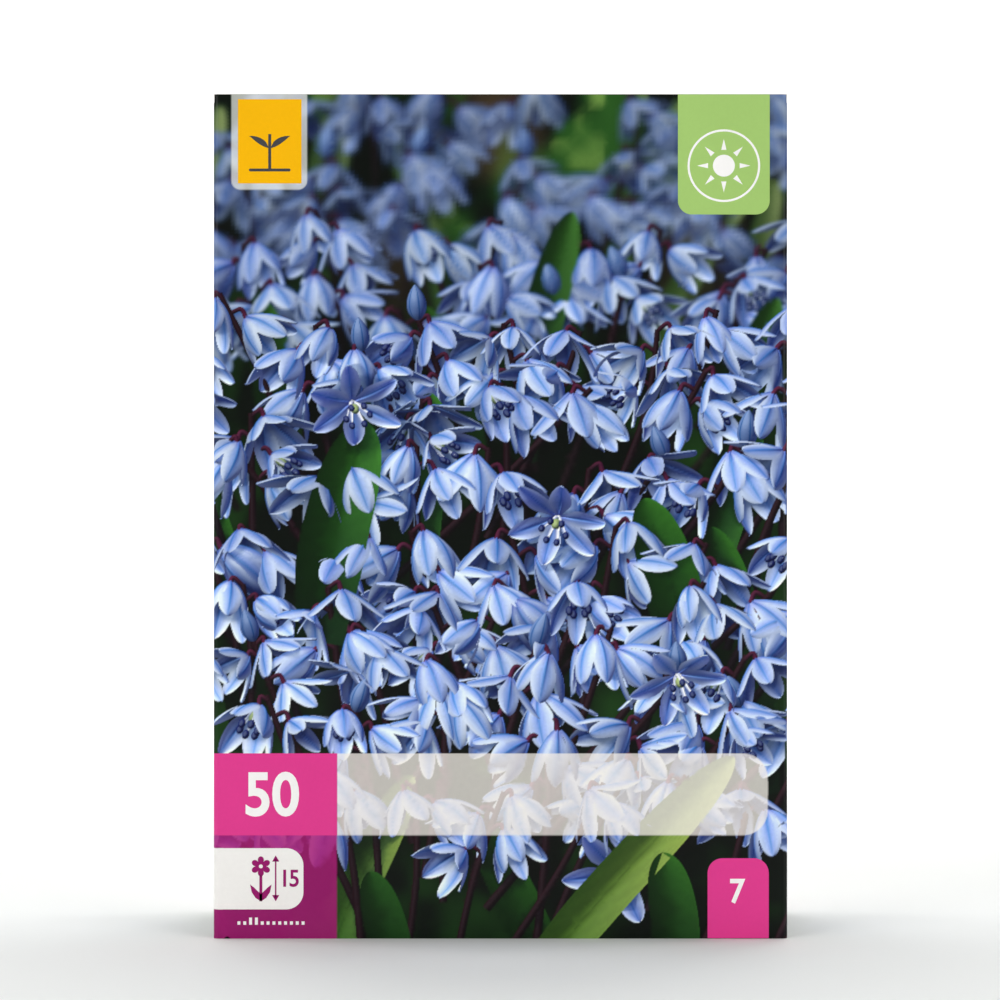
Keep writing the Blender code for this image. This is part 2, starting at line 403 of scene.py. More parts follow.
@dataclass
class Tepal:
    """One of a flower's six petals, as a curved strip seen from its flower's own axis."""

    length: float
    width: float
    start_angle: float
    end_angle: float
    cup: float
    ripple: float
    twist: float

    def surface(self, around: float, detail: float) -> tuple[Array, ...]:
        """Sample the strip on a grid.

        Args:
            around: Direction about the flower's axis, in radians.
            detail: Samples per millimetre.

        Returns:
            Points, normals, place along from 0 to 1 and place across from -1 to 1.
        """
        along_count = int(self.length * detail) + 4
        s = np.linspace(0, 1, along_count)
        t = np.linspace(-1, 1, int(self.width * detail) + 4)
        angle = self.start_angle + (self.end_angle - self.start_angle) * s**0.85
        step = self.length / (along_count - 1)
        out = 0.7 + np.concatenate([[0], np.cumsum(np.sin(angle[:-1]) * step)])
        down = np.concatenate([[0], np.cumsum(np.cos(angle[:-1]) * step)])
        half = 0.5 * self.width * (0.30 + 0.70 * smooth(0, 0.5, s)) * np.clip(1 - s**4.2, 0, 1) ** 0.62
        s, half, out, down, angle = (line[:, None] for line in (s, half, out, down, angle))
        lift = self.cup * t**2 * half
        lift = lift + self.ripple * np.sin(6.0 * s + 2.2 * t) * s * np.abs(t)
        lift = lift - 0.10 * self.width * np.exp(-((t / 0.16) ** 2)) * (1 - s) * 0.5
        sideways = half * t + self.twist * s**2 * self.length
        radial = out - lift * np.cos(angle)
        axial = down + lift * np.sin(angle)
        across = radial * math.cos(around) - sideways * math.sin(around)
        away = radial * math.sin(around) + sideways * math.cos(around)
        points = np.stack([across, away, axial], -1)
        normal = unit(np.cross(np.gradient(points, axis=0), np.gradient(points, axis=1)))
        grid_s, grid_t = (np.broadcast_to(grid, across.shape).ravel() for grid in (s, t))
        return points.reshape(-1, 3), normal.reshape(-1, 3), grid_s, grid_t

    @staticmethod
    def ink(s: Array, t: Array, hue: float, outside: Array, grain: float) -> Array:
        """A petal's ink before light: pale margins, a deep rib, fine veins and a violet foot.

        Args:
            s: Place along, 0 at the foot.
            t: Place across, -1 to 1.
            hue: This flower's own lean, 0 pale to 1 violet.
            outside: Whether the outer face is seen.
            grain: Phase of the veins.

        Returns:
            Points by three, linear colour.
        """
        edge = np.abs(t)
        body = BODY * (1 - 0.45 * hue) + BASE_VIOLET * 0.45 * hue
        ink = mixed(body, PALE, smooth(0.12, 0.95, edge) * (0.95 - 0.45 * hue))
        fan = 0.5 + 0.5 * np.cos(t * 17.0 + grain + 0.8 * np.sin(s * 5.0))
        ink = ink * (1 - 0.14 * (fan * (1 - edge * 0.6))[:, None])
        rib = np.exp(-((t / (0.08 + 0.07 * (1 - s))) ** 2)) * smooth(-0.1, 0.12, s)
        rib = rib * (1 - smooth(0.86, 1.0, s) * 0.4) * np.where(outside, 0.92, 0.70) * (1 - 0.25 * hue)
        ink = mixed(ink, RIB, rib)
        ink = mixed(ink, BASE_VIOLET, (1 - smooth(0.0, 0.30, s)) * 0.55)
        return mixed(ink, BODY * 0.8, smooth(0.90, 1.0, s) * 0.35)


@dataclass
class Bloom:
    """One flower: where its stalk ends, the way it hangs, and how far it has opened."""

    centre: Array
    axis: Array
    spin: float
    opening: float
    size: float
    hue: float
    brightness: float = 1.0

    def paint(self, brush: Brush, draw: Draw) -> None:
        """Put the flower on a layer.

        Args:
            brush: What it is painted with.
            draw: Source of random numbers.
        """
        turn = np.stack([*frame_of(self.axis, self.spin), self.axis], 0)
        for number in range(PETALS):
            inner = number % 2
            tepal = Tepal(
                length=self.size * (1.0 + 0.05 * draw.standard_normal()),
                width=self.size * (0.47 if inner else 0.42) * (1 + 0.08 * draw.standard_normal()),
                start_angle=math.radians(52 + 14 * self.opening + 5 * inner),
                end_angle=math.radians(-14 + 104 * self.opening + 9 * draw.standard_normal()),
                cup=0.30 - 0.22 * self.opening,
                ripple=0.25 * self.size / 13,
                twist=0.035 * draw.standard_normal(),
            )
            around = number * math.pi / 3 + 0.07 * draw.standard_normal()
            points, normal, s, t = tepal.surface(around, brush.detail)
            if inner:
                points = points * np.array([0.93, 0.93, 1.0])
            world = points @ turn + self.centre
            normal = normal @ turn
            normal = normal * np.where(normal[:, 1] < 0, -1.0, 1.0)[:, None]
            outward = np.einsum("ij,ij->i", normal, world - self.centre - self.axis * self.size * 0.5) > 0
            ink = tepal.ink(s, t, self.hue, outward, draw.uniform(0, 6))
            deep = (0.62 + 0.38 * smooth(0.25, 0.9, s)) * (1 + 0.55 * max(0.0, self.axis[1]))
            shaded = lit(ink, normal, self.brightness) * np.where(outward, 1.0, deep)[:, None]
            brush.layer.splat(world, shaded)
        if self.axis[1] > 0.5:
            self.paint_heart(brush, draw, turn)

    def paint_heart(self, brush: Brush, draw: Draw, turn: Array) -> None:
        """Six white threads with dark blue ends round a green middle.

        Args:
            brush: What they are painted with.
            draw: Source of random numbers.
            turn: The flower's own directions, as rows.
        """
        reach = self.size * 0.52
        grown = self.size / 13
        count = int(reach * brush.detail)
        s = np.repeat(np.linspace(0, 1, count), 9)
        across = np.tile(np.linspace(-1, 1, 9), count)
        radius = 0.5 + s * self.size * (0.10 + 0.10 * self.opening)
        side = across * (0.42 - 0.25 * s)
        normal = np.stack([across * 0.7, 0.72 + 0 * s, 0.3 + 0 * s], -1)
        ink = THREAD * (1 - 0.15 * (1 - s))[:, None]
        for number in range(PETALS):
            around = number * math.pi / 3 + 0.5 + 0.1 * draw.standard_normal()
            ca, sa = math.cos(around), math.sin(around)
            local = np.stack([radius * ca - side * sa, radius * sa + side * ca, s * reach], -1)
            brush.layer.splat(local @ turn + self.centre, lit(ink, normal, self.brightness))
            tip = np.array([radius[-1] * ca, radius[-1] * sa, reach]) @ turn + self.centre
            brush.ball(tip, self.axis, 0.75 * grown, 1.15 * grown, ANTHER)
        heart = np.array([0, 0, reach * 0.45]) @ turn + self.centre
        brush.ball(heart, self.axis, 1.05 * grown, 1.7 * grown, OVARY)


@dataclass(frozen=True)
class Blade:
    """One leaf of the picture, with its lean in degrees and its nearness in millimetres."""

    x: float
    lean: float
    z: float
    tall: float
    width: float
    near: float
    foot_ink: Array
    tip_ink: Array

    def paint(self, brush: Brush, fold: float) -> None:
        """Paint the leaf.

        Args:
            brush: What it is painted with.
            fold: How deep its channel is.
        """
        foot = np.array([self.x, self.near, self.z])
        back = -0.35 * self.tall if 20 < self.near < 40 else 0.0
        tip = foot + np.array([math.tan(math.radians(self.lean)) * self.tall, back, self.tall])
        bend = np.array([1.6 * math.copysign(1, self.lean), 0, 0.6])
        spine = np.array([foot, (foot + tip) / 2 - bend, tip])
        brush.leaf(spine, self.width, fold, (self.foot_ink, self.tip_ink))


@dataclass
class FlowerPicture:
    """The pack's full-bleed picture: drifts of nodding squills over dark ground, soft at the far end."""

    low: float
    high: float
    height: float
    seed: int = 18
    violet: float = 0.0
    dimming: tuple = (0.78, 0.84, 0.80)
    contrast: tuple = (1.22, 1.13, 1.08)
    gain: tuple = (1.28, 1.16, 1.06)
    behind: float = 30.0
    open_places: tuple = (
        (-31.0, 112.0, 10.5, 24.0), (12.0, 88.0, 11.0, -16.0), (37.0, 55.0, 10.5, 18.0),
        (24.0, 14.0, 12.0, 12.0), (-78.0, 80.0, 12.0, 9.0), (84.0, 100.0, 12.0, -12.0),
    )

    def __post_init__(self) -> None:
        """Start the random numbers."""
        self.draw = np.random.default_rng(self.seed)

    def nodding_axis(self, lean: float, toward: float) -> Array:
        """A flower's hanging direction.

        Args:
            lean: How far it swings sideways, in degrees.
            toward: How far it turns up to the viewer, in degrees.

        Returns:
            The direction, of length 1.
        """
        swing, face = math.radians(lean), math.radians(toward)
        return unit(np.array(
            [math.sin(swing) * math.cos(face), math.sin(face), -math.cos(swing) * math.cos(face)]
        ))

    def raceme(self, brush: Brush, top: Array, lean: float, scale: float, count: int) -> None:
        """A leaning stalk with a few nodding flowers near its end.

        Args:
            brush: What it is painted with.
            top: Where it ends.
            lean: How far it leans, in degrees.
            scale: Its size, 1 at the front.
            count: How many flowers it carries.
        """
        draw = self.draw
        bow = draw.uniform(-3, 3) * scale
        fall = 46 * scale
        foot = top + np.array([-math.tan(math.radians(lean)) * fall, -4.0, -fall])
        middle = (top + foot) / 2 + np.array([bow, 0, 0])
        near_top = top * 0.78 + foot * 0.22 + np.array([bow * 0.7, 0, 0])
        line = np.array([foot, middle, near_top, top])
        brush.stalk(line, (0.85 * scale, 0.55 * scale), (STEM * 0.7, STEM))
        smooth_line = curve_points(line, 100)
        side = 1 if draw.random() < 0.5 else -1
        hue = draw.uniform(0.0, 0.72) + self.violet
        for number in range(count):
            share = 1.0 - 0.13 * number - draw.uniform(0, 0.04)
            joint = smooth_line[int(share * 99)]
            side = -side
            reach = scale * draw.uniform(2.6, 4.6) * (0.7 if number == 0 else 1.0)
            swing = side * draw.uniform(18, 58) if number else draw.uniform(-25, 40)
            toward = draw.uniform(-12, 38)
            near = joint[1] + draw.uniform(0.5, 5.0) * scale
            hang = joint + np.array([side * reach, 0.0, scale * draw.uniform(-1.2, 0.8)])
            hang[1] = near
            knee = (joint + hang) / 2 + np.array([side * 0.6, 0, 1.5 * scale])
            brush.stalk(np.array([joint, knee, hang]), (0.42 * scale, 0.5 * scale), (STEM, PEDICEL))
            Bloom(
                centre=hang,
                axis=self.nodding_axis(swing, toward),
                spin=draw.uniform(0, 1.05),
                opening=float(np.clip(draw.normal(0.30, 0.19), 0.04, 0.85)),
                size=scale * draw.uniform(10.6, 12.8),
                hue=float(np.clip(hue + draw.normal(0, 0.15), 0, 0.95)),
                brightness=brush.light * draw.uniform(0.86, 1.12),
            ).paint(brush, draw)
        if draw.random() < 0.22:
            axis = unit(np.array([draw.uniform(-0.4, 0.4), 0.1, 0.9]))
            brush.bud(top + TOWARDS_VIEWER, axis, scale * 7.5)

    def facing_flower(self, brush: Brush, place: Array, size: float, lean: float) -> None:
        """A wide open flower turned to the viewer.

        Args:
            brush: What it is painted with.
            place: Its middle.
            size: Length of its petals, in millimetres.
            lean: How far it swings sideways, in degrees.
        """
        Bloom(
            centre=place,
            axis=self.nodding_axis(lean, self.draw.uniform(48, 66)),
            spin=self.draw.uniform(0, 1.05),
            opening=self.draw.uniform(0.75, 0.98),
            size=size,
            hue=self.draw.uniform(0.0, 0.35),
            brightness=brush.light,
        ).paint(brush, self.draw)

    def drift(self, layer: Layer, rows: tuple, scale: float, light: tuple, detail: float, spacing: float,
              lean: float) -> None:
        """Rows of racemes from the far side to the near side, on a jittered grid.

        Args:
            layer: Where they are painted.
            rows: Heights of their tops, from the far row to the near one.
            scale: Their size, 1 at the front.
            light: Brightness of the far row and of the near row.
            detail: Points per millimetre.
            spacing: Mean distance between two of a row.
            lean: How far the outer ones lean, in degrees.
        """
        draw = self.draw
        for index, row in enumerate(rows):
            share = index / max(len(rows) - 1, 1)
            brush = Brush(layer, detail, light[0] + (light[1] - light[0]) * share)
            x = self.low - 6 + draw.uniform(0, spacing)
            while x < self.high + 10:
                across = x + draw.normal(0, 1.6)
                top = np.array([across, 9.0 * index + draw.uniform(-3, 3), row + draw.normal(0, 3.4)])
                sway = lean * (0.35 + math.tanh(across / 28)) + draw.normal(0, 11)
                self.raceme(brush, top, sway, scale * draw.uniform(0.92, 1.08), int(draw.integers(2, 5)))
                x += spacing * draw.uniform(0.75, 1.25)

    def ground(self, rows: int, columns: int) -> Array:
        """Dark soil and foliage seen far out of focus.

        Args:
            rows: Height in pixels.
            columns: Width in pixels.

        Returns:
            Rows by columns by three, linear colour.
        """
        draw = self.draw
        height = np.linspace(0, 1, rows)[:, None]
        dark, green = linear(14, 26, 14), linear(66, 108, 46)
        brown, bright = linear(98, 74, 54), linear(150, 165, 92)
        soft = clouds(rows, columns, 160, draw) * 0.6 + clouds(rows, columns, 60, draw) * 0.4
        warm = clouds(rows, columns, 210, draw)
        glint = smooth(0.66, 0.9, clouds(rows, columns, 45, draw)) * smooth(0.7, 1.0, height)
        picture = dark + (green - dark) * (smooth(0.42, 0.75, soft) * (0.35 + 0.5 * height))[..., None]
        picture = picture + (brown - dark) * (smooth(0.55, 0.9, warm) * smooth(0.55, 0.95, height))[..., None]
        return picture + (bright - dark) * (0.55 * glint)[..., None]

    def settle(self, base: Array, base_near: Array, layer: Layer, blur: float) -> tuple[Array, Array]:
        """Lay one layer over what lies behind it, with its own soft shadow.

        Args:
            base: Picture behind.
            base_near: How near the picture behind is.
            layer: The layer to lay over.
            blur: Softness in pixels.

        Returns:
            The new picture and its nearness.
        """
        ink, cover, near = layer.pictures()
        filled = np.where(cover > 0, near, base_near - 6)
        dim = np.ones_like(cover)
        for reach, strength, limit in ((9, 0.16, 3.0), (28, 0.085, 7.0)):
            shift = int(reach * 0.7)
            around = shifted(blurred(np.clip(filled, -60, None), reach), shift, shift)
            dim *= np.exp(-strength * np.clip(around - filled - 0.5, 0, limit))
        ink = ink * np.stack([dim**1.25, dim**1.12, dim**0.86], -1)
        shadow = shifted(blurred(cover, 22 + 2 * blur), 14, 10)
        base = base * (1 - 0.70 * shadow[..., None])
        picture = base * (1 - blurred(cover, blur)[..., None]) + blurred(ink * cover[..., None], blur)
        return picture, np.where(cover > 0, near, base_near)

    def paint(self) -> Array:
        """Paint the whole picture.

        Returns:
            Rows by columns by three, linear colour, lowest row first.
        """
        far, middle, front = (Layer(self.low, self.high, self.height) for _ in range(3))
        picture = self.ground(far.rows, far.columns)
        near = np.full((far.rows, far.columns), -40.0, np.float32)

        self.violet = 0.35
        self.far_leaves(Brush(far, 7.0, 1.1))
        self.drift(far, (177, 165, 152), 0.86, (0.50, 0.70), 7.0, 17.5, 12)
        picture, near = self.settle(picture, near, far, 5)

        self.violet = 0.15
        self.drift(middle, (150, 138), 0.95, (0.74, 0.88), 9.0, 16.5, 18)
        self.middle_leaves(Brush(middle, 9.0, 0.85))
        picture, near = self.settle(picture, near - self.behind, middle, 2.4)

        self.violet = 0.0
        self.front_leaves(Brush(front, 12.5))
        self.drift(front, (130, 116, 102, 88, 74, 60, 46, 32), 1.0, (0.92, 1.08), 13.5, 18.5, 24)
        for x, z, size, lean in self.open_places:
            self.facing_flower(Brush(front, 13.5, 1.5), np.array([x, 60.0, z]), size, lean)
        picture, near = self.settle(picture, near - self.behind, front, 0)
        picture = np.clip(picture * np.array(self.dimming), 0, 1)
        return np.clip(picture ** np.array(self.contrast) * np.array(self.gain), 0, 1)

    def far_leaves(self, brush: Brush) -> None:
        """Pale blurred blades at the top, each with its own glow."""
        foot, tip = linear(88, 126, 54), linear(196, 206, 140)
        for *place, glow in (
            (-38, 8, 138, 40, 8, 0.5), (-14, -10, 126, 46, 6, 0.55), (22, 22, 132, 44, 9, 0.95),
            (30, 30, 120, 40, 6, 0.8), (-70, 14, 128, 46, 8, 0.6), (74, -18, 130, 42, 7, 0.8),
            (52, 8, 118, 40, 6, 0.5), (96, 12, 128, 44, 8, 0.6),
        ):
            Blade(*place, -6, foot * glow, tip * glow).paint(brush, 0.3)

    def middle_leaves(self, brush: Brush) -> None:
        """Upright green blades between the far and the near flowers."""
        for place in (
            (-46, -6, 92, 42, 9.5, 12), (4, 12, 100, 52, 9, 8), (47, 16, 96, 38, 8, 14),
            (-4, -16, 92, 40, 6.5, 4), (-92, 10, 90, 50, 9, 10), (70, -8, 94, 46, 9, 9), (99, 12, 96, 40, 8, 12),
        ):
            Blade(*place, linear(22, 52, 20), linear(84, 132, 52)).paint(brush, 0.45)

    def front_leaves(self, brush: Brush) -> None:
        """Near blades: a few deep green ones and bright ones that cross the foot of the picture."""
        deep, fresh, gold = linear(16, 44, 16), linear(72, 124, 46), linear(176, 190, 96)
        for blade in (
            (-20, 6, 62, 52, 13, 6, deep, fresh), (-52, -12, 40, 60, 10, 4, deep, fresh),
            (34, 18, 48, 60, 11, 5, deep, fresh), (54, -10, 30, 56, 12, 6, deep, fresh),
            (2, 42, -14, 52, 10, 70, linear(90, 124, 50), gold),
            (-38, 12, 62, 46, 14, 38, deep * 1.4, fresh * 1.25),
            (40, -14, 52, 40, 12, 39.5, deep * 1.2, fresh * 1.1),
            (36, -4, -12, 30, 10, 71, deep, fresh), (-22, -10, -16, 30, 9, 69, deep, linear(60, 106, 40)),
            (12, -24, -14, 40, 9, 40, deep, fresh), (-38, 24, -10, 44, 9, 46, fresh * 0.7, gold * 0.8),
            (-80, 12, -12, 60, 12, 50, deep, fresh), (-98, -8, -12, 46, 10, 58, fresh * 0.8, gold * 0.8),
            (76, -14, -12, 58, 12, 50, deep, fresh), (98, 12, -12, 44, 10, 58, deep, gold * 0.9),
            (-72, -20, 60, 50, 10, 8, deep, fresh), (88, 20, 56, 50, 10, 8, deep, fresh),
        ):
            Blade(*blade).paint(brush, 0.55)


# Sizes of the carton in millimetres, read from the frame

CARTON_LOW, CARTON_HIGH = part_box("carton")
WIDTH = (CARTON_HIGH.x - CARTON_LOW.x) / MM
DEPTH = (CARTON_HIGH.y - CARTON_LOW.y) / MM
HEIGHT = CARTON_HIGH.z / MM
LID_LOW, LID_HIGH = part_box("lid")
BOARD = (LID_HIGH.z - LID_LOW.z) / MM
FLAP_GAP = 0.3
SIDE_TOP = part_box("dust_flap_left")[0].z / MM - FLAP_GAP
BACK_TOP = LID_LOW.z / MM - FLAP_GAP
CREASE_RADIUS = 1.0
INK_PROUD = 0.03
OVER_PRINT = 2 * INK_PROUD
OVER_TAB = 3 * INK_PROUD
FLAT_HALF = WIDTH / 2 - CREASE_RADIUS
ARC = CREASE_RADIUS * math.pi / 2
SIDE_FLAT = DEPTH - 2 * CREASE_RADIUS
SIDE_END = FLAT_HALF + ARC + SIDE_FLAT
SIDE_MIDDLE = FLAT_HALF + ARC + SIDE_FLAT / 2
PICTURE_HALF = SIDE_END + ARC / 2
PICTURE_BACK_HALF = FLAT_HALF + ARC / 2
PICTURE_HEIGHT = HEIGHT - 0.1
AIR_HOLE_RADIUS = 3.2
AIR_HOLE_HEIGHTS = (48.0, 78.0, 108.0, 138.0)


class Sock:
    """A socket that can be added, multiplied and so on, each time through a Math node."""

    def __init__(self, shop: "NodeShop", link: Any) -> None:
        """Wrap one socket of a shop's node tree."""
        self.shop = shop
        self.link = link

    def _math(self, operation: str, first: Any, second: Any) -> "Sock":
        """Add a Math node."""
        return self.shop.node("ShaderNodeMath", {"operation": operation}, {0: first, 1: second})

    def __add__(self, other: Any) -> "Sock":
        """Sum."""
        return self._math("ADD", self, other)

    __radd__ = __add__

    def __sub__(self, other: Any) -> "Sock":
        """Difference."""
        return self._math("SUBTRACT", self, other)

    def __rsub__(self, other: Any) -> "Sock":
        """Difference from the left."""
        return self._math("SUBTRACT", other, self)

    def __mul__(self, other: Any) -> "Sock":
        """Product."""
        return self._math("MULTIPLY", self, other)

    __rmul__ = __mul__

    def step(self, low: float, high: float) -> "Sock":
        """Smooth step from 0 at low to 1 at high."""
        settings = {"interpolation_type": "SMOOTHSTEP"}
        return self.shop.node("ShaderNodeMapRange", settings, {0: self, 1: low, 2: high, 3: 0.0, 4: 1.0})


class NodeShop:
    """Makes the nodes of one material."""

    def __init__(self, name: str) -> None:
        """Start a material with a Principled shader."""
        self.material = bpy.data.materials.new(name)
        self.material.use_nodes = True
        self.tree = self.material.node_tree
        self.shader = self.tree.nodes["Principled BSDF"]

    def put(self, socket: Any, value: Any) -> None:
        """Set a socket, or link another to it.

        Args:
            socket: The node's own socket.
            value: A wrapped socket, a number or a colour.
        """
        if isinstance(value, Sock):
            self.tree.links.new(value.link, socket)
        elif isinstance(value, (tuple, list)) and len(value) == 3 and socket.type == "RGBA":
            socket.default_value = (*value, 1.0)
        else:
            socket.default_value = value

    def node(self, kind: str, settings: dict | None = None, values: dict | None = None, out: Any = 0) -> Sock:
        """Add a node.

        Args:
            kind: The node's type.
            settings: Its properties, set first; a ramp's stops are under "stops".
            values: Values or links of its input sockets.
            out: Which output is used.

        Returns:
            The output socket, wrapped.
        """
        made = self.tree.nodes.new(kind)
        for name, value in (settings or {}).items():
            if name == "stops":
                for element, (place, colour) in zip(made.color_ramp.elements, value):
                    element.position = place
                    element.color = (*colour, 1.0)
            else:
                setattr(made, name, value)
        for name, value in (values or {}).items():
            self.put(made.inputs[name], value)
        return Sock(self, made.outputs[out])

    def coordinates(self, scale: Sequence[float] = (1, 1, 1)) -> Sock:
        """Object coordinates, scaled."""
        place = self.node("ShaderNodeTexCoord", out="Object")
        return self.node("ShaderNodeMapping", {}, {"Vector": place, "Scale": tuple(scale)})

    def noise(self, vector: Sock, scale: float, detail: float = 3.0, roughness: float = 0.55) -> Sock:
        """Smooth noise."""
        values = {"Vector": vector, "Scale": scale, "Detail": detail, "Roughness": roughness}
        return self.node("ShaderNodeTexNoise", {}, values)

    def ramp(self, value: Sock, first: tuple, second: tuple) -> Sock:
        """Colour from a value, between two (place, colour) stops."""
        return self.node("ShaderNodeValToRGB", {"stops": (first, second)}, {0: value})

    def mix(self, factor: Any, first: Any, second: Any, how: str = "MIX") -> Sock:
        """Mix two colours."""
        values = {0: factor, 6: first, 7: second}
        return self.node("ShaderNodeMix", {"data_type": "RGBA", "blend_type": how}, values, 2)

    def bump(self, height: Sock, strength: float, distance: float) -> Sock:
        """A bump normal."""
        values = {"Height": height, "Strength": strength, "Distance": distance}
        return self.node("ShaderNodeBump", {}, values)

    def finish(self, **sockets: Any) -> Material:
        """Set the shader's sockets by name, with _ for a space."""
        for name, value in sockets.items():
            self.put(self.shader.inputs[name.replace("_", " ")], value)
        return self.material

    def varnished(self, colour: Any, place: Sock, rough: float = 0.30) -> Material:
        """Print on board under a thin satin varnish, with the board's fibres showing through.

        Args:
            colour: The ink.
            place: Object coordinates.
            rough: Least roughness.

        Returns:
            The finished material.
        """
        fibre = self.noise(place, 2200.0, 2.0) * 0.5 + self.noise(place, 240.0, 2.0)
        return self.finish(
            Base_Color=colour, Roughness=rough + 0.10 * self.noise(place, 160.0),
            Normal=self.bump(fibre, 0.10, 0.00006), Coat_Weight=0.07, Coat_Roughness=0.16,
            Specular_IOR_Level=0.13,
        )


@dataclass(frozen=True)
class PictureInk:
    """Four-colour picture under a satin varnish."""

    name: str = "picture_ink"

    def make(self) -> Material:
        """Build the finish: ink from the sheet's own attribute, with paper mottle and varnish."""
        shop = NodeShop(self.name)
        ink = shop.node("ShaderNodeAttribute", {"attribute_name": "ink"}, out="Color")
        place = shop.coordinates()
        tone = shop.ramp(shop.noise(place, 900.0, 2.0), (0.3, (0.965,) * 3), (0.7, (1.0,) * 3))
        return shop.varnished(shop.mix(1.0, ink, tone, "MULTIPLY"), place)


@dataclass(frozen=True)
class SolidInk:
    """A plain printed colour under varnish."""

    name: str
    colour: tuple
    mottle: float = 0.05
    rough: float = 0.30

    def make(self) -> Material:
        """Build the finish."""
        shop = NodeShop(self.name)
        place = shop.coordinates()
        blotch = shop.noise(place, 55.0, 3.0).step(0.3, 0.7)
        grain = shop.noise(place, 1400.0, 2.0).step(0.25, 0.75)
        low = tuple(channel * (1 - self.mottle) for channel in self.colour)
        return shop.varnished(shop.mix(blotch * 0.6 + grain * 0.4, low, self.colour), place, self.rough)


@dataclass(frozen=True)
class RawBoard:
    """Unprinted grey-white folding board, with fibres and flecks."""

    name: str = "raw_board"
    pale: tuple = (0.56, 0.54, 0.49)
    dark: tuple = (0.36, 0.32, 0.26)
    bright: tuple = (0.68, 0.66, 0.61)
    speck: tuple = (0.16, 0.13, 0.10)

    def make(self) -> Material:
        """Build the finish."""
        shop = NodeShop(self.name)
        place = shop.coordinates()
        cloud = shop.noise(place, 90.0, 4.0).step(0.25, 0.75)
        fibre = shop.noise(shop.coordinates((260, 900, 3200)), 1.0, 3.0).step(0.58, 0.72)
        fibre_flat = shop.noise(shop.coordinates((3200, 700, 260)), 1.0, 3.0).step(0.60, 0.74)
        fleck = shop.noise(place, 1300.0, 1.0).step(0.70, 0.76)
        dull = tuple(channel * 0.84 for channel in self.pale)
        colour = shop.mix(cloud * 0.45, self.pale, dull)
        colour = shop.mix(fibre * 0.35, colour, self.dark)
        colour = shop.mix(fibre_flat * 0.25, colour, self.bright)
        relief = shop.noise(place, 1500.0, 3.0) + fibre * 0.4
        return shop.finish(
            Base_Color=shop.mix(fleck * 0.6, colour, self.speck), Roughness=0.86,
            Normal=shop.bump(relief, 0.35, 0.00012), Specular_IOR_Level=0.25,
        )


@dataclass(frozen=True)
class Tunic:
    """Papery bulb skin: purple-brown, ribbed and flaking, paler at the plate and the nose."""

    name: str
    dark: tuple
    light: tuple
    plate: tuple = (0.52, 0.40, 0.26)
    nose: tuple = (0.46, 0.34, 0.20)

    def make(self) -> Material:
        """Build the finish from the bulb's own attribute of place along, place around and shine."""
        shop = NodeShop(self.name)
        skin = shop.node("ShaderNodeAttribute", {"attribute_name": "skin"}, out="Color")
        along = shop.node("ShaderNodeSeparateColor", {}, {0: skin}, "Red")
        around, shine = (Sock(shop, along.link.node.outputs[channel]) for channel in ("Green", "Blue"))
        spread = shop.node("ShaderNodeCombineXYZ", {}, {0: around * 46.0, 1: along * 2.2})
        ribs = shop.node(
            "ShaderNodeTexNoise", {"noise_dimensions": "2D"}, {"Vector": spread, "Scale": 1.0, "Detail": 4.0}
        )
        place = shop.coordinates()
        blotch = shop.noise(place, 140.0, 4.0)
        flake = shop.noise(place, 330.0, 3.0).step(0.60, 0.68)
        colour = shop.mix((ribs * 0.6 + blotch * 0.4).step(0.34, 0.66), self.dark, self.light)
        colour = shop.mix(flake * 0.55, colour, tuple(min(1.0, channel * 2.1) for channel in self.light))
        colour = shop.mix((1.0 - along.step(0.02, 0.16)) * 0.85, colour, self.plate)
        colour = shop.mix(along.step(0.86, 1.0) * 0.8, colour, self.nose)
        return shop.finish(
            Base_Color=colour, Roughness=0.62 - 0.22 * shine, Specular_IOR_Level=0.4,
            Normal=shop.bump(ribs + blotch * 0.5, 0.55, 0.0004),
        )


class Ink(Enum):
    """The solid inks of the carton, as display colours from 0 to 255."""

    PINK = (226, 62, 142)
    PLUM = (150, 26, 104)
    GREEN = (163, 200, 113)
    YELLOW = (250, 184, 0)
    WHITE = (250, 248, 246)
    CHALK = (247, 245, 241)
    LEAD = (72, 72, 74)


class Finishes:
    """Every material of the part, made once when first asked for."""

    def __init__(self) -> None:
        """Start with none."""
        self.made: dict[str, Material] = {}

    def get(self, finish: Any) -> Material:
        """The material of a finish."""
        if finish.name not in self.made:
            self.made[finish.name] = finish.make()
        return self.made[finish.name]

    def ink(self, ink: Ink) -> Material:
        """The material of a solid ink."""
        return self.get(SolidInk(f"ink_{ink.name.lower()}", tuple(float(v) for v in linear(*ink.value))))


def around_corner(u: Array, z: Array, proud: float) -> Array:
    """Where a point of the flat print lies once it is wrapped round the front and the sides.

    Args:
        u: Across, in millimetres from the front's middle, along the print.
        z: Up, in millimetres.
        proud: Height over the board, in millimetres.

    Returns:
        Points by three, in metres.
    """
    run = np.abs(u)
    radius = CREASE_RADIUS + proud
    turn = np.clip((run - FLAT_HALF) / CREASE_RADIUS, 0, math.pi / 2)
    back = np.clip((run - SIDE_END) / CREASE_RADIUS, 0, math.pi / 2)
    along = np.clip(run - FLAT_HALF - ARC, 0, SIDE_FLAT)
    x = np.minimum(run, FLAT_HALF) + radius * np.sin(turn) - radius * (1 - np.cos(back))
    y = -(DEPTH / 2 - CREASE_RADIUS) - radius * np.cos(turn) + along + radius * np.sin(back)
    return np.stack([np.sign(u) * x, y, z], -1) * MM


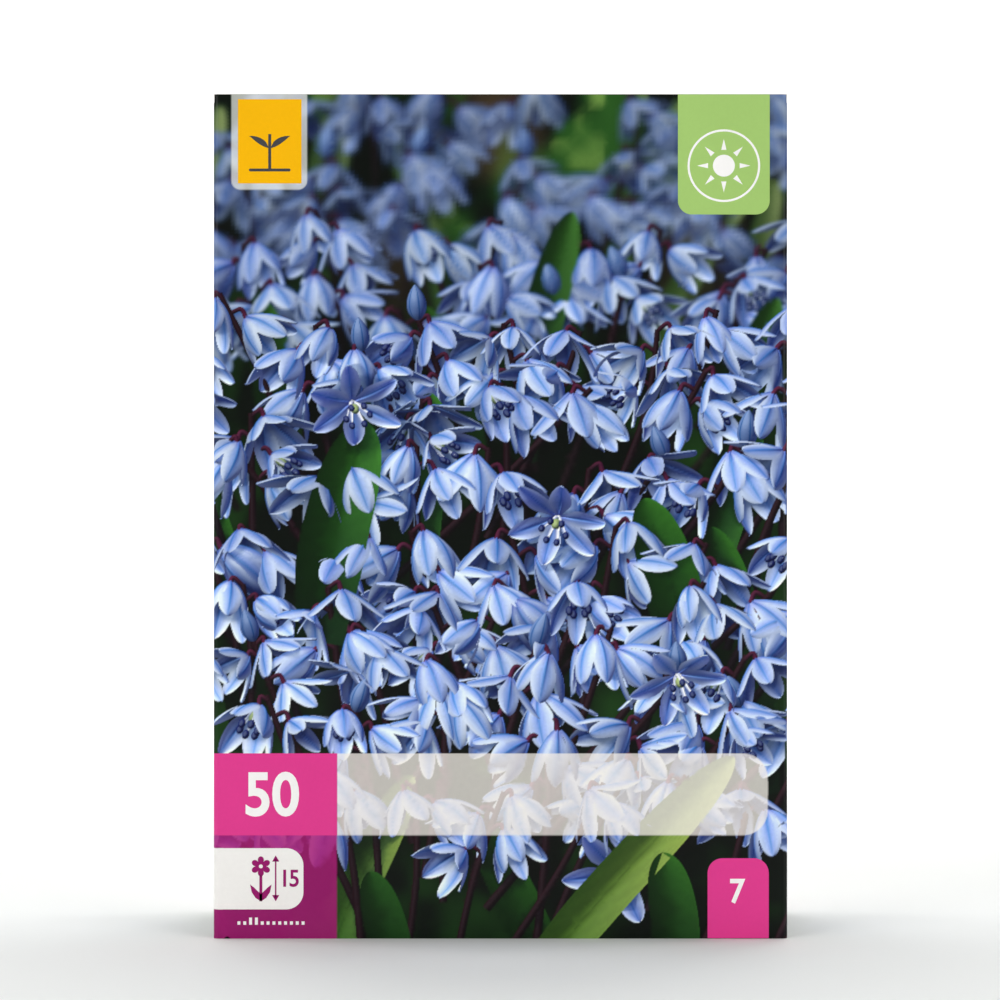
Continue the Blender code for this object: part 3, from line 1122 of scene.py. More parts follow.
def on_back(u: Array, z: Array, proud: float) -> Array:
    """Where a point of the back's flat print lies.

    Args:
        u: Across, in millimetres from the middle, to the right as seen from behind.
        z: Up, in millimetres.
        proud: Height over the board, in millimetres.

    Returns:
        Points by three, in metres.
    """
    run = np.abs(u)
    radius = CREASE_RADIUS + proud
    turn = np.clip((run - FLAT_HALF) / CREASE_RADIUS, 0, math.pi / 2)
    x = np.minimum(run, FLAT_HALF) + radius * np.sin(turn)
    y = (DEPTH / 2 - CREASE_RADIUS) + radius * np.cos(turn)
    return np.stack([-np.sign(u) * x, y, z], -1) * MM


def bent(u: Array, slack: float) -> Array:
    """Which columns of cells lie in a rounded crease, or within a slack of one."""
    run = np.abs(u)
    bend = ((run > FLAT_HALF - slack) & (run < FLAT_HALF + ARC + slack)) | (run > SIDE_END - slack)
    return (bend[:-1] | bend[1:])[None, :]


def blocks(cells: Array, step: int) -> Array:
    """A grid of cells seen as square blocks of a step: block row, row, block column, column."""
    return cells.reshape(cells.shape[0] // step, step, cells.shape[1] // step, step)


def spread(marks: Array, step: int) -> Array:
    """Each block's mark given to all its cells."""
    return np.repeat(np.repeat(marks, step, 0), step, 1)


def starts_of(counts: Array) -> Array:
    """Where each face's corners start in the list of all corners."""
    return np.concatenate([[0], np.cumsum(counts)[:-1]])


@dataclass
class SheetParts:
    """Points and faces of a sheet while it is made."""

    grid_u: Array
    grid_z: Array
    wrap: Callable[[Array, Array, float], Array]
    points: list[Array] = field(default_factory=list)
    inks: list[Array] = field(default_factory=list)
    flat: list[Array] = field(default_factory=list)
    faces: list[Array] = field(default_factory=list)
    total: int = 0
    front: int = 0

    def add(self, chosen: Any, ink: Any, proud: float) -> Array:
        """Add points of the grid.

        Args:
            chosen: Which of them.
            ink: Their colour, or one for all.
            proud: Their height over the board, in millimetres.

        Returns:
            Their numbers.
        """
        u, z = self.grid_u[chosen], self.grid_z[chosen]
        self.points.append(self.wrap(u, z, proud))
        self.inks.append(np.zeros((len(u), 3), np.float32) + ink)
        self.flat.append(np.stack([u, z], -1))
        self.total += len(u)
        return np.arange(self.total - len(u), self.total)


@dataclass
class InkSheet:
    """A printed sheet: its mesh follows its picture, with small cells at edges and large ones in plain areas."""

    name: str
    low: float
    high: float
    bottom: float
    top: float
    wrap: Callable[[Array, Array, float], Array]
    allowed: float = 0.045
    cell: float = 0.2
    largest: int = 16
    inner_ink: float = 0.6

    def build(self, picture: Array, picture_low: float, holes: Sequence[tuple] = (),
              top_line: Callable[[Array], Array] | None = None) -> Piece:
        """Turn a picture into a closed thin sheet with its ink on the points.

        Args:
            picture: Rows by columns by three, linear, lowest row first.
            picture_low: Place of the picture's left edge, in millimetres.
            holes: (across, up, radius) of each round hole.
            top_line: Highest place at each point across, where the sheet's top isn't level.

        Returns:
            The sheet's object, in place.
        """
        across = int(round((self.high - self.low) / self.cell / self.largest)) * self.largest
        up = int(math.ceil((self.top - self.bottom) / self.cell / self.largest)) * self.largest
        u = np.linspace(self.low, self.high, across + 1)
        z = np.minimum(self.bottom + np.arange(up + 1) * self.cell, self.top)
        rows, columns = (z / PICTURE_STEP - 0.5), (u - picture_low) / PICTURE_STEP - 0.5
        rows, columns = (np.clip(line, 0, size - 1.001) for line, size in zip((rows, columns), picture.shape))
        corners = between_points(picture, rows, columns).astype(np.float32)

        grid_u, grid_z = np.meshgrid(u, z)
        middle_u = (u[:-1] + u[1:])[None, :] / 2
        middle_z = (z[:-1] + z[1:])[:, None] / 2
        keep = np.ones((up, across), bool) & (z[1:] > z[:-1])[:, None]
        rigid = bent(u, 0.3) | ((z[1:] - z[:-1]) < self.cell * 0.9)[:, None]
        for hole_u, hole_z, radius in holes:
            away = np.hypot(middle_u - hole_u, middle_z - hole_z)
            keep &= away > radius
            rigid |= np.abs(away - radius) < 0.8
            out_u, out_z = grid_u - hole_u, grid_z - hole_z
            reach = np.maximum(np.hypot(out_u, out_z), 1e-6)
            rim = np.abs(reach - radius) < self.cell * 0.72
            grid_u = np.where(rim, hole_u + out_u / reach * radius, grid_u)
            grid_z = np.where(rim, hole_z + out_z / reach * radius, grid_z)
        if top_line is not None:
            grid_z = np.minimum(grid_z, top_line(grid_u))
        return self.mesh(corners, self.leaf_sizes(corners, rigid), keep, grid_u, grid_z)

    def leaf_sizes(self, corners: Array, rigid: Array) -> Array:
        """The size, in cells, of the leaf that each cell belongs to.

        Args:
            corners: Ink at each corner of the cells.
            rigid: Cells that stay of the smallest size.

        Returns:
            Rows by columns of sizes.
        """
        seen = np.clip(corners, 0, 1) ** (1 / DISPLAY_POWER)
        size = np.ones(rigid.shape, np.int32)
        rows, columns = rigid.shape
        step = 2
        while step <= self.largest:
            low_left, low_right = seen[:-1:step, :-1:step], seen[:-1:step, step::step]
            up_left, up_right = seen[step::step, :-1:step], seen[step::step, step::step]
            worst = np.zeros(low_left.shape[:2], np.float32)
            for row in range(step + 1):
                for column in range(step + 1):
                    a, b = row / step, column / step
                    flat = low_left * (1 - a) * (1 - b) + low_right * (1 - a) * b
                    flat = flat + up_left * a * (1 - b) + up_right * a * b
                    real = seen[row : row + rows : step, column : column + columns : step]
                    worst = np.maximum(worst, np.abs(real - flat).max(-1))
            whole = (worst < self.allowed) & ~blocks(rigid, step).any((1, 3))
            whole &= (blocks(size, step) == step // 2).all((1, 3))
            size[spread(whole, step)] = step
            step *= 2
        return size

    @staticmethod
    def leaf_rings(size: Array, keep: Array, used: Array) -> list[tuple]:
        """Corner rings of every kept leaf, with the points that smaller neighbours add.

        Args:
            size: Leaf size of each cell.
            keep: Whether each cell is part of the sheet.
            used: Which grid points are corners of some leaf.

        Returns:
            For each size: the leaves' middles, their rings' rows and columns, and which of these are used.
        """
        rings = []
        for step in sorted(set(np.unique(size))):
            rows, columns = np.nonzero((size == step) & keep)
            start = (rows % step == 0) & (columns % step == 0)
            rows, columns = rows[start], columns[start]
            line = np.arange(step)
            ring_rows = rows[:, None] + np.concatenate([0 * line, line, 0 * line + step, step - line])
            ring_columns = columns[:, None] + np.concatenate([line, 0 * line + step, step - line, 0 * line])
            if len(rows):
                middle = (rows + step // 2, columns + step // 2)
                rings.append((middle, (ring_rows, ring_columns), used[ring_rows, ring_columns]))
        return rings

    @staticmethod
    def corners_of(size: Array, keep: Array) -> Array:
        """Which grid points are corners of a kept leaf.

        Args:
            size: Leaf size of each cell.
            keep: Whether each cell is part of the sheet.

        Returns:
            A mark for each grid point.
        """
        used = np.zeros((size.shape[0] + 1, size.shape[1] + 1), bool)
        rows, columns = np.nonzero(keep)
        leaf = size[rows, columns]
        rows, columns = rows - rows % leaf, columns - columns % leaf
        for add_row in (0, 1):
            for add_column in (0, 1):
                used[rows + add_row * leaf, columns + add_column * leaf] = True
        return used

    @staticmethod
    def fans(ring: Array, on: Array, centre: Array, turned: bool) -> Array:
        """Triangles from each leaf's middle to the used points of its ring.

        Args:
            ring: Point numbers of each leaf's ring.
            on: Which of them are used.
            centre: Point number of each leaf's middle.
            turned: Whether the triangles face inwards.

        Returns:
            Point numbers, three for each triangle.
        """
        owner, slot = np.nonzero(on)
        here = ring[owner, slot]
        last = np.r_[owner[1:] != owner[:-1], True]
        following = np.r_[here[1:], here[0]]
        following[last] = here[np.r_[0, np.nonzero(last)[0][:-1] + 1]]
        order = (centre[owner], following, here) if turned else (centre[owner], here, following)
        return np.stack(order, -1)

    def mesh(self, corners: Array, size: Array, keep: Array, grid_u: Array, grid_z: Array) -> Piece:
        """Make the mesh: an inked outer side and a plain inner side that share their rim.

        Args:
            corners: Ink at each grid point.
            size: Leaf size of each cell.
            keep: Whether each cell is part of the sheet.
            grid_u: Each grid point's place across.
            grid_z: Each grid point's height.

        Returns:
            The sheet's object.
        """
        used = self.corners_of(size, keep)
        outer = np.full(used.shape, -1, np.int64)
        outer[used] = np.arange(used.sum())
        made = SheetParts(grid_u, grid_z, self.wrap)
        made.add(used, corners[used], INK_PROUD)
        for middle, ring, on in self.leaf_rings(size, keep, used):
            points = outer[ring]
            plain = on.sum(1) == 4
            made.faces.append(points[plain][on[plain]].reshape(-1, 4))
            if not plain.all():
                middle = tuple(line[~plain] for line in middle)
                centre = made.add(middle, corners[middle], INK_PROUD)
                made.faces.append(self.fans(points[~plain], on[~plain], centre, False))
        made.front = sum(len(part) for part in made.faces)
        clear = ~bent(grid_u[0], 0.5) & np.ones(keep.shape, bool)
        coarse = np.where(self.whole_blocks(clear), self.largest, 2)
        size = np.where(self.whole_blocks(keep), coarse, size)
        self.inner_side(size, keep, self.rim_of(keep) & used, outer, made)
        return self.object_of(made)

    def whole_blocks(self, cells: Array) -> Array:
        """Cells in blocks of the largest size that are marked all over."""
        return spread(blocks(cells, self.largest).all((1, 3)), self.largest)

    @staticmethod
    def rim_of(keep: Array) -> Array:
        """Grid points on the edge of the kept cells."""
        padded = np.pad(keep, 1).astype(int)
        count = padded[:-1, :-1] + padded[:-1, 1:] + padded[1:, :-1] + padded[1:, 1:]
        return (count > 0) & (count < 4)

    def inner_side(self, size: Array, keep: Array, rim: Array, outer: Array, made: SheetParts) -> None:
        """Close the sheet from behind with larger faces.

        Args:
            size: Leaf size of each cell.
            keep: Whether each cell is part of the sheet.
            rim: Grid points that both sides share.
            outer: Point number of each grid point of the outer side.
            made: The sheet's parts so far.
        """
        inside = self.corners_of(size, keep) & ~self.rim_of(keep)
        index = np.where(rim, outer, -1)
        index[inside] = made.add(inside, self.inner_ink, -INK_PROUD / 2)
        for middle, ring, on in self.leaf_rings(size, keep, inside | rim):
            if on.shape[1] == 4:
                made.faces.append(index[ring][:, ::-1])
            else:
                centre = made.add(middle, self.inner_ink, -INK_PROUD / 2)
                made.faces.append(self.fans(index[ring], on, centre, True))

    @staticmethod
    def sharpen_rim(mesh: bpy.types.Mesh, loops: Array, counts: Array, outer_loops: int) -> None:
        """Mark the edges between the inked side and the inner side sharp, so that the ink shades flat.

        Args:
            mesh: The sheet's mesh.
            loops: Point number of each face's corners, in one list.
            counts: Number of corners of each face.
            outer_loops: How many corners of the list belong to the inked side.
        """
        start = starts_of(counts)
        following = np.arange(1, len(loops) + 1)
        following[start + counts - 1] = start
        ends = np.empty(len(mesh.edges) * 2, np.int32)
        mesh.edges.foreach_get("vertices", ends)
        corners, edges = (
            np.sort(pairs.astype(np.int64), -1) @ np.array([len(mesh.vertices), 1])
            for pairs in (np.stack([loops, loops[following]], -1), ends.reshape(-1, 2))
        )
        rim = np.intersect1d(corners[:outer_loops], corners[outer_loops:])
        mesh.edges.foreach_set("use_edge_sharp", np.isin(edges, rim))

    def object_of(self, made: SheetParts) -> Piece:
        """Write the parts into a mesh object with its ink and its flat map.

        Args:
            made: The sheet's parts.

        Returns:
            The sheet's object.
        """
        points, inks, flat = (np.concatenate(part) for part in (made.points, made.inks, made.flat))
        loops = np.concatenate([part.ravel() for part in made.faces])
        counts = np.concatenate([np.full(len(part), part.shape[1]) for part in made.faces])
        outer_loops = int(np.sum(counts[: made.front]))
        mesh = bpy.data.meshes.new(self.name)
        mesh.vertices.add(len(points))
        mesh.vertices.foreach_set("co", points.astype(np.float32).ravel())
        mesh.loops.add(len(loops))
        mesh.loops.foreach_set("vertex_index", loops.astype(np.int32))
        mesh.polygons.add(len(counts))
        mesh.polygons.foreach_set("loop_start", starts_of(counts).astype(np.int32))
        mesh.polygons.foreach_set("use_smooth", np.ones(len(counts), bool))
        ink = mesh.attributes.new("ink", "FLOAT_COLOR", "POINT")
        colours = np.pad(inks, ((0, 0), (0, 1)), constant_values=1)
        ink.data.foreach_set("color", colours.astype(np.float32).ravel())
        corner = np.array([self.low, self.bottom])
        size = np.array([self.high, self.top]) - corner
        place = ((flat - corner) / size)[loops]
        place[:outer_loops, 1] *= 0.96
        place[outer_loops:, 1] = 0.97 + place[outer_loops:, 1] * 0.03
        flat_map = mesh.uv_layers.new(name="OFBake")
        flat_map.data.foreach_set("uv", np.clip(place, 0, 1).astype(np.float32).ravel())
        mesh.update(calc_edges=True)
        self.sharpen_rim(mesh, loops, counts, outer_loops)
        log.info("%s: %d faces", self.name, len(counts))
        return linked(self.name, mesh)


def linked(name: str, data: Any) -> Piece:
    """A new object of the scene."""
    made = bpy.data.objects.new(name, data)
    bpy.context.scene.collection.objects.link(made)
    return made


def deselect() -> None:
    """Select nothing, as operators act on all that is selected."""
    for thing in bpy.context.selected_objects:
        thing.select_set(False)
    bpy.context.view_layer.objects.active = None


def active_mesh(name: str) -> Piece:
    """Name the object an operator has just added, and apply its place."""
    made = bpy.context.object
    made.name = made.data.name = name
    bpy.ops.object.transform_apply(location=True, rotation=True, scale=True)
    return made


def in_edit_mode(*steps: Callable[[], Any]) -> None:
    """Run operators on the active object in edit mode, each with everything selected.

    Args:
        steps: The operators, in order.
    """
    bpy.ops.object.mode_set(mode="EDIT")
    for step in steps:
        bpy.ops.mesh.select_all(action="SELECT")
        step()
    bpy.ops.object.mode_set(mode="OBJECT")


def dress(piece: Piece, material: Material, body: str) -> None:
    """Give a piece its one material and the body it moves with.

    Args:
        piece: The piece.
        material: Its finish.
        body: The body it rides on.
    """
    piece.data.materials.clear()
    piece.data.materials.append(material)
    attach(piece, body)
    log.info("piece %s on %s", piece.name, body)


class Face(Enum):
    """Which face of the carton a flat shape lies on."""

    FRONT = "front"
    BACK = "back"
    LID = "lid"

    def place(self, across: float, up: float, proud: float) -> Vector:
        """A point of the face, in metres, from millimetres across it, up it and proud of it."""
        if self is Face.LID:
            return Vector((across, up, HEIGHT + proud)) * MM
        way = 1 if self is Face.BACK else -1
        return Vector((-way * across, way * (DEPTH / 2 + proud), up)) * MM

    def lay(self, shape: Piece, proud: float) -> Piece:
        """Lay a thick flat shape on the face, and turn its faces outwards.

        Args:
            shape: The shape, drawn in millimetres across and up, its top above the plane it is drawn on.
            proud: How far its top stands off the board, in millimetres.

        Returns:
            The shape, in place.
        """
        for corner in shape.data.vertices:
            corner.co = self.place(corner.co.x, corner.co.y, proud if corner.co.z > 0 else 0.0)
        in_edit_mode(bpy.ops.mesh.normals_make_consistent)
        deselect()
        return shape


def arc_points(centre: tuple, radius: float, first: float = 0, last: float = 360,
               steps: int = 36) -> list[tuple]:
    """Points on an arc, angles in degrees; a full circle doesn't repeat its first point."""
    angles = np.radians(np.linspace(first, last, steps + 1))[: steps if last - first == 360 else None]
    return [(centre[0] + radius * math.cos(a), centre[1] + radius * math.sin(a)) for a in angles]


def rounded_box(left: float, bottom: float, right: float, top: float, *radii: float) -> list[tuple]:
    """Outline of a box.

    Args:
        left: Its left edge.
        bottom: Its lower edge.
        right: Its right edge.
        top: Its upper edge.
        radii: Of its corners at the bottom left, bottom right, top right and top left; one for all; or none.

    Returns:
        Its points.
    """
    corners = (
        (left, bottom, 1, 1, 180), (right, bottom, -1, 1, 270),
        (right, top, -1, -1, 0), (left, top, 1, -1, 90),
    )
    radii = radii * 4 if len(radii) == 1 else radii or (0,) * 4
    points: list[tuple] = []
    for (x, y, way_x, way_y, start), radius in zip(corners, radii):
        centre = (x + way_x * radius, y + way_y * radius)
        points += arc_points(centre, radius, start, start + 90, 10) if radius else [(x, y)]
    return [point for point, last in zip(points, points[-1:] + points[:-1]) if math.dist(point, last) > 1e-6]


def flat_shape(name: str, face: Face, outline: Sequence[tuple], proud: float = OVER_PRINT,
               holes: Sequence[Sequence[tuple]] = ()) -> Piece:
    """A thin closed shape of ink on one of the carton's faces.

    Args:
        name: The piece's name.
        face: Where it lies.
        outline: Its corners in millimetres, across and up.
        proud: How far its top stands off the board, in millimetres.
        holes: Outlines cut out of it.

    Returns:
        The piece.
    """
    deselect()
    bpy.ops.mesh.primitive_circle_add(vertices=len(outline), fill_type="NOTHING")
    made = active_mesh(name)
    in_edit_mode(*(partial(bpy.ops.mesh.primitive_circle_add, vertices=len(ring)) for ring in holes))
    corners = [corner for ring in (outline, *holes) for corner in ring]
    for vertex, (across, up) in zip(made.data.vertices, corners):
        vertex.co = (across, up, 0)
    in_edit_mode(
        partial(bpy.ops.mesh.fill, use_beauty=True),
        partial(bpy.ops.mesh.extrude_region_move, TRANSFORM_OT_translate={"value": (0, 0, 1)}),
    )
    return face.lay(made, proud)


def number_shape(name: str, face: Face, digits: str, centre: tuple, height: float, bold: float = 0.02,
                 proud: float = OVER_TAB) -> Piece:
    """Plain digits in a narrow bold face, as a thin closed shape.

    Args:
        name: The piece's name.
        face: Where it lies.
        digits: The number.
        centre: Its middle, across and up, in millimetres.
        height: Height of a digit, in millimetres.
        bold: Extra weight of the strokes, as a share of the height.
        proud: How far it stands off the board, in millimetres.

    Returns:
        The piece.
    """
    deselect()
    bpy.ops.object.text_add(location=(0, 0, 0))
    text = bpy.context.object.data
    text.body = digits
    text.size = 1.0
    text.resolution_u = 6
    text.fill_mode = "BOTH"
    text.extrude = 0.5
    text.offset = bold
    text.space_character = 0.88 if height < 4 else 1.0
    bpy.ops.object.convert(target="MESH")
    made = active_mesh(name)
    in_edit_mode(partial(bpy.ops.mesh.remove_doubles, threshold=1e-5))
    places = [vertex.co.xy.copy() for vertex in made.data.vertices]
    low, high = (Vector([edge(place[axis] for place in places) for axis in (0, 1)]) for edge in (min, max))
    middle = (low + high) / 2
    scale = height / (high.y - low.y)
    for vertex in made.data.vertices:
        vertex.co.x = (vertex.co.x - middle.x) * scale * 0.92 + centre[0]
        vertex.co.y = (vertex.co.y - middle.y) * scale + centre[1]
    return face.lay(made, proud)


def joined(name: str, parts: Sequence[Piece]) -> Piece:
    """Join several shapes into one piece.

    Args:
        name: The piece's name.
        parts: The shapes.

    Returns:
        The piece.
    """
    deselect()
    for part in parts:
        part.select_set(True)
    bpy.context.view_layer.objects.active = parts[0]
    if len(parts) > 1:
        bpy.ops.object.join()
    parts[0].name = parts[0].data.name = name
    deselect()
    return parts[0]


@dataclass
class Sign:
    """Plain shapes of one ink on one face, joined into one piece."""

    face: Face = Face.FRONT
    proud: float = OVER_TAB
    parts: list[Piece] = field(default_factory=list)

    def shape(self, outline: Sequence[tuple], *holes: Sequence[tuple]) -> None:
        """Add a shape."""
        self.parts.append(flat_shape("shape", self.face, outline, self.proud, holes))

    def box(self, *sizes: float) -> None:
        """Add a box from its left, bottom, right and top, and the radii of its corners if it has any."""
        self.shape(rounded_box(*sizes))

    def flower(self, centre: tuple, radius: float) -> None:
        """Add a plain six-petalled flower with an open heart.

        Args:
            centre: Its middle, across and up, in millimetres.
            radius: From its middle to a petal's end, in millimetres.
        """
        steps = PETALS * 16
        angles = [2 * math.pi * step / steps for step in range(steps)]
        reach = [radius * (0.52 + 0.48 * abs(math.cos(angle * PETALS / 2)) ** 0.7) for angle in angles]
        outline = [(centre[0] + r * math.sin(a), centre[1] + r * math.cos(a)) for a, r in zip(angles, reach)]
        self.shape(outline, arc_points(centre, radius * 0.2, steps=20))

    def finish(self, name: str, material: Material, body: str = "box") -> None:
        """Join the shapes and dress them."""
        dress(joined(name, self.parts), material, body)


@dataclass
class Backdrop:
    """White seamless paper, soft lights and the camera."""

    lens: float = 120.0
    sensor: float = 36.0
    frame_width: float = 209.1
    middle_up: float = 91.7
    paper_half: float = 2.6
    paper_near: float = -1.6
    paper_far: float = 0.55
    paper_bend: float = 0.5
    paper_wall: float = 1.9
    world_light: float = 0.26

    def build(self) -> None:
        """Make the paper sweep, the lights, the world and the camera."""
        self.paper()
        self.camera()
        self.lights()

    def paper(self) -> None:
        """A floor that curves up into a wall well behind the part, its colour painted darker in front as painted
        shade.
        """
        deselect()
        bpy.ops.mesh.primitive_plane_add(size=2, location=(0, 0, 0))
        floor = active_mesh("paper_sweep")
        for corner in floor.data.vertices:
            corner.select = corner.co.y > 0
            corner.co.x *= self.paper_half
            corner.co.y = self.paper_far if corner.select else self.paper_near
        for edge in floor.data.edges:
            edge.select = all(floor.data.vertices[end].select for end in edge.vertices)
        floor.data.polygons[0].select = False
        bpy.ops.object.mode_set(mode="EDIT")
        bpy.ops.mesh.select_mode(type="EDGE")
        middle = (0, self.paper_far, self.paper_bend)
        bpy.ops.mesh.spin(steps=15, angle=-math.pi / 2, center=middle, axis=(1, 0, 0))
        bpy.ops.mesh.extrude_region_move(TRANSFORM_OT_translate={"value": (0, 0, self.paper_wall)})
        bpy.ops.mesh.select_mode(type="VERT")
        bpy.ops.object.mode_set(mode="OBJECT")
        in_edit_mode(bpy.ops.mesh.normals_make_consistent)
        if sum(face.normal.z for face in floor.data.polygons) < 0:
            in_edit_mode(bpy.ops.mesh.flip_normals)
        shop = NodeShop("seamless_paper")
        place = shop.coordinates()
        # Painted shade: the floor's colour is darker from the part forwards and lighter from about half a metre
        # back, standing in for light that falls off over the floor; the faint mottle in the near colour is the
        # paper's own.
        near = shop.ramp(shop.noise(place, 6.0, 3.0), (0.3, (0.76, 0.77, 0.75)), (0.7, (0.78, 0.79, 0.77)))
        away = shop.node("ShaderNodeSeparateXYZ", {}, {0: place}, "Y")
        shop.finish(
            Base_Color=shop.mix(away.step(0.08, 0.55), near, (0.88, 0.88, 0.88)), Roughness=0.9,
            Specular_IOR_Level=0.1, Normal=shop.bump(shop.noise(place, 700.0, 2.0), 0.05, 0.0001),
        )
        floor.data.materials.append(shop.material)
        floor.data.shade_smooth()
        deselect()

    def camera(self) -> None:
        """A long lens square to the front, level with the middle of the frame."""
        lens = bpy.data.cameras.new("camera")
        lens.lens = self.lens
        lens.sensor_width = self.sensor
        away = self.frame_width * MM * self.lens / self.sensor
        camera = linked("camera", lens)
        camera.location = (-0.0001, -DEPTH / 2 * MM - away, self.middle_up * MM)
        camera.rotation_euler = (math.pi / 2, 0, 0)
        bpy.context.scene.camera = camera

    def area(self, name: str, place: tuple, aim: tuple, size: tuple, power: float) -> None:
        """One soft rectangular light.

        Args:
            name: Its name.
            place: Where it hangs.
            aim: Where it points.
            size: Its width and height.
            power: Its power in watts.
        """
        data = bpy.data.lights.new(name, "AREA")
        data.shape = "RECTANGLE"
        data.size, data.size_y = size
        data.energy = power
        light = linked(name, data)
        light.location = place
        light.rotation_euler = (Vector(aim) - Vector(place)).to_track_quat("-Z", "Y").to_euler()

    def lights(self) -> None:
        """Broad light from above, from both sides of the camera and on the wall behind."""
        self.area("overhead", (0.0, 0.72, 1.15), (0, -0.05, 0.0), (1.3, 0.9), 9.5)
        self.area("front_left", (-1.2, -1.3, 0.7), (0, 0, 0.09), (1.1, 1.1), 13.8)
        self.area("front_right", (1.25, -1.3, 0.6), (0, 0, 0.09), (1.1, 1.1), 12.6)
        for name, side in (("left", -1), ("right", 1)):
            self.area(f"wall_{name}", (side * 1.1, 0.35, 1.3), (side * 0.2, 1.05, 0.5), (0.7, 0.7), 7.5)
        world = bpy.data.worlds.new("studio")
        world.use_nodes = True
        colour, strength = world.node_tree.nodes["Background"].inputs[:2]
        colour.default_value = (1, 1, 1, 1)
        strength.default_value = self.world_light
        scene = bpy.context.scene
        scene.world = world
        scene.view_settings.view_transform = "Standard"
        scene.view_settings.look = "None"


@dataclass
class FlatPicture:
    """A picture laid out flat, which can be tinted in boxes."""

    ground: Array
    half: float

    def tint(self, cover: float, tint: tuple, left: float, bottom: float, right: float, top: float,
             radii: tuple = (0, 0, 0, 0)) -> None:
        """Lay a translucent box over the picture, mixed as the eye sees it.

        Args:
            cover: How much it hides, 0 to 1.
            tint: Its display colour, 0 to 255.
            left: Its left edge, in millimetres.
            bottom: Its lower edge.
            right: Its right edge.
            top: Its upper edge.
            radii: Of its corners at the bottom left, bottom right, top right and top left.
        """
        rows, columns = self.ground.shape[:2]
        u = (-self.half + (np.arange(columns) + 0.5) * PICTURE_STEP)[None, :]
        z = ((np.arange(rows) + 0.5) * PICTURE_STEP)[:, None]
        away = np.maximum(np.maximum(left - u, u - right), np.maximum(bottom - z, z - top))
        inside = np.clip(0.5 - away / PICTURE_STEP, 0, 1)
        corners = ((left, bottom, 1, 1), (right, bottom, -1, 1), (right, top, -1, -1), (left, top, 1, -1))
        for (x, y, way_x, way_y), radius in zip(corners, radii):
            in_u = (x + way_x * radius - u) * way_x
            in_z = (y + way_y * radius - z) * way_y
            reach = np.hypot(np.clip(in_u, 0, None), np.clip(in_z, 0, None))
            soft = np.clip(0.5 - (reach - radius) / PICTURE_STEP, 0, 1)
            inside = inside * np.where((radius > 0) & (in_u > 0) & (in_z > 0), soft, 1)
        seen = np.clip(self.ground, 0, 1) ** (1 / DISPLAY_POWER)
        seen = mixed(seen, np.array(tint) / 255, inside.astype(np.float32) * cover)
        self.ground = (seen**DISPLAY_POWER).astype(np.float32)


